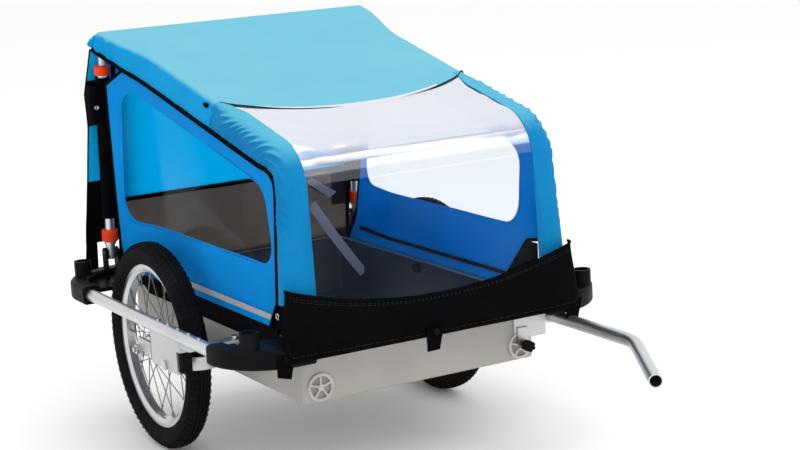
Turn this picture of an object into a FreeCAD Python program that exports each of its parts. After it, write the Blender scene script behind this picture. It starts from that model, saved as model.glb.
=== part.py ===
import FreeCAD, Part
import math
import os

V = FreeCAD.Vector

# Dog trailer for a bicycle: millimetres, +Z up, forward along -Y, right side at -X.
# Sizes are set with the ground at z = 0 and the wheel axis over y = 0.

# Fits and cuts
overrun = 5.0
seat_gap = 0.3
plug_gap = 0.1
pin_gap = 0.05
side_gap = 1.0

# Sixteen inch wheels
rim_seat_radius = 152.0
rim_flange_height = 6.0
rim_shoulder_drop = 2.0
rim_depth = 9.0
rim_width = 26.0
rim_flange = 2.0
rim_floor_width = 16.0
tyre_width = 47.0
tyre_stand = 1.0
tread_groove_width = 3.0
tread_groove_depth = 2.0
tread_groove_offset = 7.0
hub_flange_radius = 25.0
hub_hole_radius = 20.0
hub_flange_offset = 22.0
hub_flange_thick = 3.0
hub_shell_radius = 12.0
hub_end_radius = 9.0
spoke_count = 28
spoke_radius = 1.0
spoke_cross = 2
spoke_clear = 0.2
spoke_outer_clear = 2.0
spoke_rim_near = 2.0
spoke_rim_far = 6.0
nipple_radius = 2.0
nipple_length = 10.0

# Swing forks of flat bar bent round the wheel
tyre_room = 13.5
fork_thick = 5.0
fork_height = 24.0
fork_rise = 12.0
fork_bend_inset = 15.0
dropout_radius = 16.0
axle_radius = 5.0
axle_overhang = 12.0
nut_width = 17.0
nut_height = 7.0
pivot_pin_radius = 5.0
pivot_head_radius = 9.0
pivot_head_height = 4.0

# Chassis ring: side rails, moulded corners and end tubes
ring_rise = 79.0
front_room = 214.0
rear_room = 14.0
rail_radius = 12.0
rail_wall = 2.0
corner_radius = 100.0
corner_sleeve = 30.0
front_sleeve = 4.0
rear_sleeve = 46.0
rail_plug = 20.0
corner_section = 36.0
corner_edge = 7.0
web_thick = 8.0
web_inset = 18.0
cup_radius = 17.0
cup_bore_radius = 13.0
cup_height = 28.0
cup_bore_depth = 40.0
lug_thick = 4.0
lug_radius = 11.0

# Sheet metal tub
tub_half = 239.0
tub_end_past = 57.0
tub_drop = 106.0
tub_rim_rise = 13.0
tub_wall = 2.0
tub_edge_radius = 12.0
tub_fold_radius = 6.0
tub_lip = 9.0
bead_count = 5
bead_radius = 14.0
bead_rise = 4.0
bead_inset = 70.0
vent_inset = 32.0
vent_rise = 28.0
vent_radius = 25.0
vent_ring = 5.0
vent_thick = 4.0
vent_hub_radius = 6.0
vent_spoke_width = 3.5
vent_spokes = 5

# Wheel carriers between rail and tub
plate_ahead = 55.0
plate_behind = 61.0
plate_below = 8.0
plate_thick = 4.0
rubber_thick = 21.0
rubber_past = 12.0
rubber_rise = 4.0
block_length = 25.0
block_half = 30.0
block_height = 36.0
block_edge = 8.0
strut_room = 26.0
strut_width = 24.0
strut_below = 29.0
strut_thick = 5.0
strut_tab = 12.0
bolt_radius = 6.0
bolt_height = 6.0
rivet_count = 5
rivet_pitch = 45.0
rivet_radius = 3.2
rivet_height = 2.5

# Canopy tube: pivots at the front base, runs over the cabin and across the rear
canopy_tube_radius = 10.0
canopy_tube_wall = 1.5
canopy_base_spread = 29.0
canopy_base_back = 6.0
canopy_base_rise = 39.0
canopy_foot = 12.0
canopy_bend_spread = 8.0
canopy_bend_back = 11.0
canopy_front_rise = 291.0
canopy_bend_radius = 75.0
canopy_rear_spread = 19.0
canopy_rear_in = 56.0
canopy_slope_rise = 164.0
canopy_rear_radius = 32.0
crossbar_radius = 8.0
frame_pin_radius = 4.0
corner_plate_thick = 4.0
corner_plate_width = 22.0
corner_plate_overlap = 40.0

# Rear posts, outside the canopy tube
post_foot_past = 61.0
post_foot_rise = 56.0
post_top_behind = 18.0
post_top_drop = 5.0
post_radius = 9.5
post_wall = 1.5
post_tail = 12.0
rod_radius = 6.0
rod_plug = 60.0
rod_share = 0.84
knuckle_radius = 10.0
knuckle_half = 10.0
slot_turn_deg = 215.4
collar_radius = 16.5
collar_height = 25.0
collar_edge = 3.0
collar_seat = 24.0
stop_ring_radius = 12.0
stop_ring_height = 5.0
upper_collar_radius = 15.0
upper_collar_height = 19.0
cover_width = 36.0
cover_thick = 23.0
cover_edge = 8.0
cover_bottom = 75.0
cover_top_gap = 6.0

# Covers: roof, clear film, apron, side and rear panels
cloth_thick = 2.4
film_thick = 1.5
roof_seam_back = 272.0
roof_rear_reach = 14.0
film_inset = 17.0
sleeve_thick = 4.0
sleeve_stop_rise = 82.0
flap_drop = 49.0
apron_spread = 32.0
apron_corner = 20.0
apron_standoff = 6.0
apron_wing_back = 18.0
apron_rise = 109.0
apron_height = 112.0
apron_dip = 52.0
apron_wing_in = 12.0
apron_wing_rise = 27.0
tail_half = 11.0
tail_drop = 16.0
tail_inset = 28.0
panel_lap = 30.0
panel_rise = 28.0
panel_lean_rise = 393.0
panel_lean = 28.5
panel_under_tube = 16.0
panel_front_in = 19.0
panel_web_room = 11.0
panel_rear_in = 13.0
panel_top_in = 17.0
panel_front_radius = 55.0
window_inset = 62.0
window_sill_rise = 122.0
window_front_in = 77.0
window_rear_in = 46.0
window_top_in = 33.0
window_radius = 42.0
rear_panel_in = 3.0
rear_panel_lap = 24.0

# Drawbar and its socket at the front left
drawbar_out = 41.0
drawbar_radius = 12.0
drawbar_wall = 2.0
drawbar_plug = 131.0
drawbar_ahead = 254.0
drawbar_turn_in = 123.0
drawbar_reach = 219.0
drawbar_bend_radius = 120.0
socket_wall = 3.5
socket_length = 125.0
bracket_room = 0.5
bracket_thick = 3.0
bracket_in = 44.0
bracket_below = 32.0
bracket_above = 12.0
bracket_side_length = 118.0
tab_width = 22.0
tab_drop = 20.0
knob_radius = 10.0
knob_length = 18.0
knob_lobes = 6
knob_groove = 2.0
knob_stem_radius = 4.0
knob_stem_length = 6.0

# Wheel and fork, from the rim's seat outwards
bar_axis = V(1, 0, 0)
rim_edge_radius = rim_seat_radius + rim_flange_height
rim_shoulder_radius = rim_seat_radius - rim_shoulder_drop
rim_inner_radius = rim_seat_radius - rim_depth
tyre_radius = rim_seat_radius + tyre_stand + tyre_width
fork_gap_half = tyre_width / 2 + tyre_room
fork_leg_half = fork_gap_half + fork_thick
fork_z = tyre_radius + fork_rise
fork_bend_y = fork_bend_inset - tyre_radius
pivot_y = fork_bend_y

# Widths, from the tub's side out to the rail
wheel_track_half = tub_half + block_length + fork_leg_half
rail_half = wheel_track_half + fork_leg_half + rubber_thick + plate_thick / 2
plate_inner_x = rail_half - plate_thick / 2
corner_centre_x = rail_half - corner_radius
canopy_base_half = tub_half + canopy_base_spread
canopy_bend_half = tub_half + canopy_bend_spread
canopy_rear_half = tub_half + canopy_rear_spread
knuckle_in = canopy_rear_half + canopy_tube_radius + corner_plate_thick + side_gap
post_half = knuckle_in + knuckle_half
knuckle_out = post_half + knuckle_half

# Chassis lengths and heights, from the wheel
ring_z = tyre_radius + ring_rise
corner_front_y = -tyre_radius - front_room
corner_rear_y = tyre_radius + rear_room
ring_front_y = corner_front_y - corner_radius
ring_rear_y = corner_rear_y + corner_radius
tub_front_y = corner_front_y - tub_end_past
tub_rear_y = corner_rear_y + tub_end_past
tub_floor_z = ring_z - tub_drop
tub_rim_z = ring_z + tub_rim_rise
vent_half = tub_half - vent_inset
vent_z = tub_floor_z + vent_rise
plate_front_y = pivot_y - plate_ahead
plate_rear_y = pivot_y + plate_behind
plate_bottom_z = fork_z - plate_below
strut_y = fork_bend_y - fork_leg_half - strut_room
strut_z = ring_z - strut_below
rivet_first_y = strut_y + rivet_pitch * (rivet_count - 1) / 2

# Canopy and posts, from their pivots on the corners
canopy_base_y = ring_front_y + canopy_base_back
canopy_base_z = ring_z + canopy_base_rise
canopy_bend_y = canopy_base_y + canopy_bend_back
canopy_bend_z = canopy_base_z + canopy_front_rise
canopy_rear_y = tub_rear_y - canopy_rear_in
canopy_rear_z = canopy_bend_z + canopy_slope_rise
post_foot = V(post_half, corner_rear_y + post_foot_past, ring_z + post_foot_rise)
post_top = V(post_half, canopy_rear_y + post_top_behind, canopy_rear_z - post_top_drop)
post_axis = (post_top - post_foot).normalize()
post_length = (post_top - post_foot).Length

# Covers, from what carries them
roof_half = canopy_rear_half + canopy_tube_radius
roof_seam_y = canopy_bend_y + roof_seam_back
film_half = canopy_bend_half - film_inset
sleeve_stop_z = canopy_base_z + sleeve_stop_rise
flap_top_z = canopy_bend_z - flap_drop
apron_half = canopy_base_half + apron_spread
apron_wing_y = canopy_base_y + apron_wing_back
apron_wing_half = apron_half - apron_wing_in
apron_top_z = ring_z + apron_rise
apron_bottom_z = apron_top_z - apron_height
apron_wing_z = apron_bottom_z + apron_wing_rise
tail_place_half = apron_half - tail_inset
panel_bottom_z = tub_rim_z - panel_lap
panel_sill_z = panel_bottom_z + panel_rise
panel_sill_front_y = tub_front_y + panel_front_in
panel_low_front_y = corner_front_y + web_inset + panel_web_room
panel_low_rear_y = corner_rear_y - web_inset - panel_web_room
panel_rear_low_y = tub_rear_y - panel_rear_in
panel_rear_top_y = canopy_rear_y - panel_top_in
window_sill_z = panel_sill_z + window_sill_rise
window_front_y = canopy_bend_y + window_front_in
window_rear_low_y = panel_rear_low_y - window_rear_in
window_rear_top_y = panel_rear_top_y - window_top_in
rear_panel_half = tub_half - rear_panel_in
rear_panel_bottom_z = tub_rim_z - rear_panel_lap

# Drawbar, under the front left corner
drawbar_x = tub_half + drawbar_out
drawbar_z = ring_z - corner_section / 2 - drawbar_radius - socket_wall - bracket_room
drawbar_rear_y = tub_front_y + drawbar_plug
drawbar_bend_y = tub_front_y - drawbar_ahead
drawbar_tip_x = drawbar_x - drawbar_turn_in
drawbar_tip_y = drawbar_bend_y - drawbar_reach
bracket_inner_x = tub_half - bracket_in
bracket_bottom_z = drawbar_z - bracket_below
bracket_top_z = drawbar_z + bracket_above

# Move to the part's own frame
tip_turn = math.atan2(drawbar_turn_in, drawbar_reach)
front_reach_y = drawbar_tip_y - drawbar_radius * math.sin(tip_turn)
rear_reach_y = ring_rear_y + corner_section / 2
to_origin = V(0, -(front_reach_y + rear_reach_y) / 2, 0)


def put(name, shape):
    """Move a finished piece to the part's own frame and write it."""
    placed = shape.copy()
    placed.translate(to_origin)
    placed.exportStep("parts/" + name + ".step")


def put_pair(name, shape):
    """Write a left piece and its mirrored right twin."""
    put("left_" + name, shape)
    put("right_" + name, mirrored(shape))


def mirrored(shape):
    return shape.mirror(V(0, 0, 0), V(1, 0, 0))


def both_sides(shapes):
    """Group left solids and their mirrored twins in one node."""
    return Part.makeCompound(shapes + [mirrored(one) for one in shapes])


def box(x0, x1, y0, y1, z0, z1):
    return Part.makeBox(x1 - x0, y1 - y0, z1 - z0, V(x0, y0, z0))


def bar(start, end, radius):
    """Round bar between two points."""
    run = end - start
    return Part.makeCylinder(radius, run.Length, start, run)


def ring(start, end, radius, bore):
    """Round sleeve between two points, with a through bore."""
    run = (end - start).normalize() * overrun
    return bar(start, end, radius).cut(bar(start - run, end + run, bore))


def rounded_wire(points, bends):
    """Straight runs joined by tangent arcs at the inner points."""
    edges = []
    start = points[0]
    for corner, after, radius in zip(points[1:], points[2:], bends):
        back = (start - corner).normalize()
        ahead = (after - corner).normalize()
        half = back.getAngle(ahead) / 2
        setback = radius / math.tan(half)
        middle = corner + (back + ahead).normalize() * (radius / math.sin(half) - radius)
        edges.append(Part.LineSegment(start, corner + back * setback).toShape())
        edges.append(Part.Arc(corner + back * setback, middle, corner + ahead * setback).toShape())
        start = corner + ahead * setback
    edges.append(Part.LineSegment(start, points[-1]).toShape())
    return Part.Wire(edges)


def sweep(points, bends, radius):
    path = rounded_wire(points, bends)
    profile = Part.Wire([Part.Circle(points[0], points[1] - points[0], radius).toShape()])
    return path.makePipeShell([profile], True, False)


def tube(points, bends, radius, wall):
    """Bent round tube, open at both ends."""
    return sweep(points, bends, radius).cut(sweep(points, bends, radius - wall))


def plate_face(points):
    return Part.Face(Part.makePolygon(points + [points[0]]))


def prism_x(points, x0, x1):
    """Outline of (y, z) points, drawn out along X."""
    return plate_face([V(x0, y, z) for y, z in points]).extrude(V(x1 - x0, 0, 0))


def spun(points):
    """Outline of (x, radius) points, turned round the X axis."""
    return plate_face([V(x, 0, r) for x, r in points]).revolve(V(0, 0, 0), bar_axis, 360)


def hex_nut(x0, x1, y, z):
    corner = nut_width / math.sqrt(3)
    points = []
    for step in range(6):
        turn = math.radians(60 * step)
        points.append((y + corner * math.cos(turn), z + corner * math.sin(turn)))
    return prism_x(points, x0, x1)


def wheel_pieces():
    """Tyre, rim, hub and spokes about the X axis through the origin."""
    half = rim_width / 2
    inner = half - rim_flange
    floor_half = rim_floor_width / 2
    rim = spun([(-half, rim_edge_radius), (-inner, rim_edge_radius), (-inner, rim_seat_radius),
                (inner, rim_seat_radius), (inner, rim_edge_radius), (half, rim_edge_radius),
                (half, rim_shoulder_radius), (floor_half, rim_inner_radius),
                (-floor_half, rim_inner_radius), (-half, rim_shoulder_radius)])
    section_radius = tyre_width / 2
    centre = V(0, 0, tyre_radius - section_radius)
    section = Part.Face(Part.Wire([Part.Circle(centre, V(0, 1, 0), section_radius).toShape()]))
    below_rim = [V(-tyre_width, 0, 0), V(tyre_width, 0, 0),
                 V(tyre_width, 0, rim_edge_radius), V(-tyre_width, 0, rim_edge_radius)]
    section = section.cut(plate_face(below_rim))
    bead_top = rim_edge_radius + rim_flange
    bead = [V(-inner, 0, rim_seat_radius), V(inner, 0, rim_seat_radius),
            V(inner, 0, bead_top), V(-inner, 0, bead_top)]
    section = section.fuse(plate_face(bead)).removeSplitter()
    for side in (-1, 0, 1):
        left = side * tread_groove_offset - tread_groove_width / 2
        right = left + tread_groove_width
        crown = section_radius - math.sqrt(section_radius ** 2 - (side * tread_groove_offset) ** 2)
        bottom = tyre_radius - crown - tread_groove_depth
        top = tyre_radius + overrun
        section = section.cut(plate_face([V(left, 0, bottom), V(right, 0, bottom),
                                          V(right, 0, top), V(left, 0, top)]))
    tyre = section.Faces[0].revolve(V(0, 0, 0), bar_axis, 360)
    end = fork_gap_half - seat_gap
    bore = axle_radius + pin_gap
    inside = hub_flange_offset - hub_flange_thick / 2
    outside = hub_flange_offset + hub_flange_thick / 2
    outline = [(-end, bore), (end, bore), (end, hub_end_radius), (outside, hub_end_radius),
               (outside, hub_flange_radius), (inside, hub_flange_radius), (inside, hub_shell_radius)]
    outline += [(-x, r) for x, r in reversed(outline[2:])]
    hub = spun(outline)
    return tyre, rim, hub, spokes()


def spokes():
    """Crossed spokes from both hub flanges to the rim, each with its nipple."""
    step = 360.0 / (spoke_count / 2)
    stand = hub_flange_thick / 2 + spoke_radius
    made = []
    for index in range(spoke_count):
        flange = 1 if index % 2 else -1
        place = index // 2
        lean = 1 if place % 2 else -1
        hub_turn = math.radians(step * place + step / 2 * (index % 2))
        rim_turn = hub_turn + lean * math.radians(step * spoke_cross)
        clear = spoke_outer_clear if lean > 0 else spoke_clear
        hub_x = flange * (hub_flange_offset + lean * (stand + clear))
        rim_x = flange * (spoke_rim_far if lean > 0 else spoke_rim_near)
        start = V(hub_x, hub_hole_radius * math.cos(hub_turn), hub_hole_radius * math.sin(hub_turn))
        reach = rim_inner_radius - spoke_clear - nipple_radius / 2
        end = V(rim_x, reach * math.cos(rim_turn), reach * math.sin(rim_turn))
        aim = (end - start).normalize()
        wire = bar(start, end - aim * nipple_length, spoke_radius)
        nipple = bar(end - aim * nipple_length, end, nipple_radius)
        made.append(wire.fuse(nipple))
    return Part.makeCompound(made)


def make_wheels():
    names = ("tyre", "rim", "hub", "spokes")
    for name, piece in zip(names, wheel_pieces()):
        piece.translate(V(wheel_track_half, 0, tyre_radius))
        put_pair(name, piece)


def fork_outline(half, rear_y):
    """Bar outline seen from above: two legs and a round front end."""
    x = wheel_track_half
    low = fork_z - fork_height / 2
    legs = box(x - half, x + half, fork_bend_y, rear_y, low, low + fork_height)
    nose = Part.makeCylinder(half, fork_height, V(x, fork_bend_y, low))
    return legs.fuse(nose)


def make_forks():
    """Flat bar forks with dropouts, wheel axles with nuts, and swing pins."""
    inner_x = wheel_track_half - fork_leg_half
    outer_x = wheel_track_half + fork_leg_half
    fork = fork_outline(fork_leg_half, 0)
    for x in (inner_x, outer_x - fork_thick):
        fork = fork.fuse(bar(V(x, 0, tyre_radius), V(x + fork_thick, 0, tyre_radius), dropout_radius))
    space = fork_outline(fork_gap_half, dropout_radius + overrun)
    space_low = tyre_radius - dropout_radius - overrun
    space = space.fuse(box(wheel_track_half - fork_gap_half, wheel_track_half + fork_gap_half,
                           -dropout_radius - overrun, dropout_radius + overrun, space_low, fork_z))
    fork = fork.cut(space)
    reach = V(outer_x + overrun, 0, 0)
    start = V(inner_x - overrun, 0, 0)
    axle_place = V(0, 0, tyre_radius)
    pivot_place = V(0, pivot_y, fork_z)
    fork = fork.cut(bar(start + axle_place, reach + axle_place, axle_radius + pin_gap))
    fork = fork.cut(bar(start + pivot_place, reach + pivot_place, pivot_pin_radius + pin_gap))
    put_pair("fork", fork.removeSplitter())

    axle = bar(V(inner_x - axle_overhang, 0, tyre_radius), V(outer_x + axle_overhang, 0, tyre_radius),
               axle_radius)
    axle = axle.fuse(hex_nut(inner_x - nut_height, inner_x, 0, tyre_radius))
    axle = axle.fuse(hex_nut(outer_x, outer_x + nut_height, 0, tyre_radius))
    put_pair("axle", axle)

    plate_face_x = plate_inner_x + plate_thick
    outer_pin = bar(V(outer_x - fork_thick, pivot_y, fork_z), V(plate_face_x, pivot_y, fork_z),
                    pivot_pin_radius)
    head = bar(V(plate_face_x, pivot_y, fork_z), V(plate_face_x + pivot_head_height, pivot_y, fork_z),
               pivot_head_radius)
    inner_pin = bar(V(tub_half, pivot_y, fork_z), V(inner_x + fork_thick, pivot_y, fork_z),
                    pivot_pin_radius)
    put_pair("fork_pins", Part.makeCompound([outer_pin.fuse(head), inner_pin]))


def rail_core(y0, y1, radius):
    return bar(V(rail_half, y0, ring_z), V(rail_half, y1, ring_z), radius)


def make_carriers():
    """Hanger plates under the rails, rubber blocks, tub blocks, struts and fasteners."""
    inner_x = wheel_track_half - fork_leg_half
    outer_x = wheel_track_half + fork_leg_half
    pin_bore = pivot_pin_radius + pin_gap
    through = bar(V(0, pivot_y, fork_z), V(rail_half + corner_radius, pivot_y, fork_z), pin_bore)
    rail = rail_core(corner_front_y, corner_rear_y, rail_radius)
    plate = box(plate_inner_x, plate_inner_x + plate_thick, plate_front_y, plate_rear_y,
                plate_bottom_z, ring_z)
    put_pair("hanger_plate", plate.cut(rail).cut(through))

    rubber = box(outer_x + seat_gap, plate_inner_x, plate_front_y - rubber_past, plate_rear_y + rubber_past,
                 plate_bottom_z + rubber_rise, strut_z - seat_gap)
    put_pair("rubber_block", rubber.cut(through))

    block = box(tub_half, inner_x - seat_gap, pivot_y - block_half, pivot_y + block_half,
                fork_z - block_height / 2, fork_z + block_height / 2)
    along = [edge for edge in block.Edges if abs(edge.tangentAt(edge.FirstParameter).x) > 1 - 1e-6]
    block = block.makeFillet(block_edge, along)
    put_pair("tub_block", block.cut(through))

    strut_front = strut_y - strut_width / 2
    strut_rear = strut_y + strut_width / 2
    strut = box(tub_half, rail_half + strut_tab / 2, strut_front, strut_rear,
                strut_z, strut_z + strut_thick)
    tab = box(rail_half - strut_tab / 2, rail_half + strut_tab / 2, strut_front, strut_rear,
              strut_z, ring_z)
    put_pair("strut", strut.fuse(tab).cut(rail).removeSplitter())

    bolts = []
    top = strut_z + strut_thick
    for x in (tub_half + strut_width, rail_half - strut_width):
        foot = V(x, strut_y, top)
        bolts.append(bar(foot, foot + V(0, 0, bolt_height), bolt_radius))
    for index in range(rivet_count):
        y = rivet_first_y - index * rivet_pitch
        head = bar(V(rail_half, y, ring_z), V(rail_half, y, ring_z + rail_radius + rivet_height),
                   rivet_radius)
        bolts.append(head.cut(rail))
    put("chassis_bolts", both_sides(bolts))


def rounded_section():
    """Square bumper section with rounded edges, standing on the rail line."""
    half = corner_section / 2 - corner_edge
    x = corner_radius
    core = Part.makePolygon([V(x - half, 0, ring_z - half), V(x + half, 0, ring_z - half),
                             V(x + half, 0, ring_z + half), V(x - half, 0, ring_z + half),
                             V(x - half, 0, ring_z - half)])
    return Part.Face(core.makeOffset2D(corner_edge))


def bumper(hinge, hinge_radius, sleeve):
    """Moulded corner about its own arc centre, with the tub towards -x and -y.

    hinge is the pivot's place from the arc centre, with a lug on each side, and sleeve runs along the rail.
    """
    section = rounded_section()
    arc = section.revolve(V(0, 0, 0), V(0, 0, 1), 90)
    rail_sleeve = section.extrude(V(0, -sleeve, 0))
    turned = section.copy()
    turned.rotate(V(0, 0, 0), V(0, 0, 1), 90)
    tube_sleeve = turned.extrude(V(-corner_sleeve, 0, 0))
    body = arc.fuse([rail_sleeve, tube_sleeve])

    wall_x = tub_half - corner_centre_x
    web_low = ring_z - web_thick / 2
    web = Part.makeCylinder(corner_radius, web_thick, V(0, 0, web_low), V(0, 0, 1), 90)
    web = web.fuse(box(wall_x, 0, -web_inset, corner_radius, web_low, web_low + web_thick))
    web = web.fuse(box(0, corner_radius, -web_inset, 0, web_low, web_low + web_thick))
    body = body.fuse(web)

    centre = corner_radius * math.sqrt(0.5)
    cup_top = ring_z + corner_section / 2 + cup_height
    cup_foot = V(centre, centre, ring_z)
    body = body.fuse(bar(cup_foot, V(centre, centre, cup_top), cup_radius))

    stand = hinge_radius + side_gap
    for x in (hinge.x - stand - lug_thick, hinge.x + stand):
        lug = box(x, x + lug_thick, hinge.y - lug_radius, hinge.y + lug_radius, ring_z, hinge.z)
        eye = bar(V(x, hinge.y, hinge.z), V(x + lug_thick, hinge.y, hinge.z), lug_radius)
        body = body.fuse(lug.fuse(eye))

    bore = rail_radius + plug_gap
    rail_end = V(corner_radius, rail_plug, ring_z)
    rail_start = V(corner_radius, -sleeve - web_inset - overrun, ring_z)
    body = body.cut(bar(rail_start, rail_end, bore))
    tube_start = V(-corner_sleeve - overrun, corner_radius, ring_z)
    body = body.cut(bar(tube_start, V(0, corner_radius, ring_z), bore))
    body = body.cut(bar(V(centre, centre, cup_top - cup_bore_depth),
                        V(centre, centre, cup_top + overrun), cup_bore_radius))
    reach = stand + lug_thick + overrun
    hole = bar(hinge - V(reach, 0, 0), hinge + V(reach, 0, 0), frame_pin_radius + pin_gap)
    return body.cut(hole).removeSplitter()


def make_ring():
    """Side rails, end tubes and the four moulded corners."""
    front_end = corner_front_y - rail_plug
    rear_end = corner_rear_y + rail_plug
    rail = rail_core(front_end, rear_end, rail_radius)
    rail = rail.cut(rail_core(front_end - overrun, rear_end + overrun, rail_radius - rail_wall))
    put_pair("rail", rail)
    for name, y in (("front_cross_tube", ring_front_y), ("rear_cross_tube", ring_rear_y)):
        ends = V(-corner_centre_x, y, ring_z), V(corner_centre_x, y, ring_z)
        put(name, ring(ends[0], ends[1], rail_radius, rail_radius - rail_wall))

    rear = bumper(post_foot - V(corner_centre_x, corner_rear_y, 0), post_radius, rear_sleeve)
    rear.translate(V(corner_centre_x, corner_rear_y, 0))
    put_pair("rear_bumper", rear)
    front = bumper(V(canopy_base_half - corner_centre_x, corner_front_y - canopy_base_y, canopy_base_z),
                   canopy_tube_radius, front_sleeve)
    front = front.mirror(V(0, 0, 0), V(0, 1, 0))
    front.translate(V(corner_centre_x, corner_front_y, 0))
    put_pair("front_bumper", front)

    pins = []
    for half, y, z, radius in ((canopy_base_half, canopy_base_y, canopy_base_z, canopy_tube_radius),
                               (post_half, post_foot.y, post_foot.z, post_radius)):
        reach = radius + side_gap + lug_thick
        pins.append(bar(V(half - reach, y, z), V(half + reach, y, z), frame_pin_radius))
    put("frame_pins", both_sides(pins))


def make_tub():
    """Folded sheet tub with an inward rim lip, floor beads and two round vents."""
    def block(inset, low, high, edge):
        body = box(-tub_half + inset, tub_half - inset, tub_front_y + inset, tub_rear_y - inset, low, high)
        upright = [e for e in body.Edges if abs(e.tangentAt(e.FirstParameter).z) > 1 - 1e-6]
        return body.makeFillet(edge, upright)

    outer = block(0, tub_floor_z, tub_rim_z, tub_edge_radius)
    foot = [e for e in outer.Edges if e.BoundBox.ZMax < tub_floor_z + tub_wall]
    outer = outer.makeFillet(tub_fold_radius, foot)
    inside = block(tub_wall, tub_floor_z + tub_wall, tub_rim_z - tub_wall, tub_edge_radius - tub_wall)
    foot = [e for e in inside.Edges if e.BoundBox.ZMax < tub_floor_z + 2 * tub_wall]
    inside = inside.makeFillet(tub_fold_radius - tub_wall, foot)
    mouth = block(tub_lip, tub_rim_z - 2 * tub_wall, tub_rim_z + overrun, tub_edge_radius - tub_wall)
    tub = outer.cut(inside).cut(mouth)

    pitch = 2 * tub_half / (bead_count + 1)
    for index in range(bead_count):
        x = -tub_half + pitch * (index + 1)
        centre_z = tub_floor_z + bead_rise - bead_radius
        start = V(x, tub_front_y + bead_inset, centre_z)
        end = V(x, tub_rear_y - bead_inset, centre_z)
        ridge = bar(start, end, bead_radius + tub_wall)
        groove = bar(start, end, bead_radius)
        above = box(-tub_half, tub_half, tub_front_y, tub_rear_y, tub_floor_z + tub_wall / 2, tub_rim_z)
        tub = tub.fuse(ridge.common(above)).cut(groove)

    grilles = []
    for side in (-1, 1):
        centre = V(side * vent_half, tub_front_y, vent_z)
        hole = bar(centre - V(0, overrun, 0), centre + V(0, overrun, 0), vent_radius - vent_ring)
        tub = tub.cut(hole)
        grilles.append(vent_grille(centre))
    put("tub", tub.removeSplitter())
    put("vent_grilles", Part.makeCompound(grilles))


def vent_grille(centre):
    """Round grille: a rim, a hub and spokes, flat on the front wall."""
    face = centre - V(0, vent_thick, 0)
    grille = ring(face, centre, vent_radius, vent_radius - vent_ring)
    grille = grille.fuse(bar(face, centre, vent_hub_radius))
    reach = vent_radius - vent_ring / 2
    for index in range(vent_spokes):
        spoke = box(centre.x - vent_spoke_width / 2, centre.x + vent_spoke_width / 2,
                    face.y, centre.y, centre.z, centre.z + reach)
        spoke.rotate(centre, V(0, 1, 0), 360 * index / vent_spokes)
        grille = grille.fuse(spoke)
    return grille.removeSplitter()


def canopy_path():
    """Right base, right bend, rear corners, left bend, left base, as tube points."""
    base = V(canopy_base_half, canopy_base_y, canopy_base_z)
    bend = V(canopy_bend_half, canopy_bend_y, canopy_bend_z)
    foot = base - (bend - base).normalize() * canopy_foot
    rear = V(canopy_rear_half, canopy_rear_y, canopy_rear_z)
    half = [foot, bend, rear]
    return half + [V(-p.x, p.y, p.z) for p in reversed(half)]


def side_line(offset):
    """Rear end, bend and base of the canopy tube in (y, z), moved outwards by offset."""
    rear = V(0, canopy_rear_y, canopy_rear_z)
    bend = V(0, canopy_bend_y, canopy_bend_z)
    base = V(0, canopy_base_y, canopy_base_z)
    top = (bend - rear).normalize()
    front = (base - bend).normalize()
    top_out = V(0, top.z, -top.y)
    front_out = V(0, front.z, -front.y)
    turn = top_out.getAngle(front_out)
    corner = bend + (top_out + front_out).normalize() * (offset / math.cos(turn / 2))
    return rear + top_out * offset, corner, base + front_out * offset


def cover_band(inner, outer, half, reach):
    """Sheet over the canopy tube between two offsets, as wide as 2 * half, past the rear bar by reach."""
    wires = []
    for offset in (inner, outer):
        rear, corner, base = side_line(offset)
        back = rear + (rear - corner).normalize() * reach
        wires.append(rounded_wire([back, corner, base], [canopy_bend_radius + offset]))
    first = [v.Point for v in wires[0].OrderedVertexes]
    last = [v.Point for v in wires[1].OrderedVertexes]
    ends = [Part.LineSegment(first[end], last[end]).toShape() for end in (0, -1)]
    face = Part.Face(Part.Wire(Part.__sortEdges__(wires[0].Edges + wires[1].Edges + ends)))
    face.translate(V(-half, 0, 0))
    return face.extrude(V(2 * half, 0, 0))


def slab(y0, y1, z0, z1):
    """Space across the whole width between two lengths and two heights."""
    return box(-rail_half, rail_half, y0, y1, z0, z1)


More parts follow.
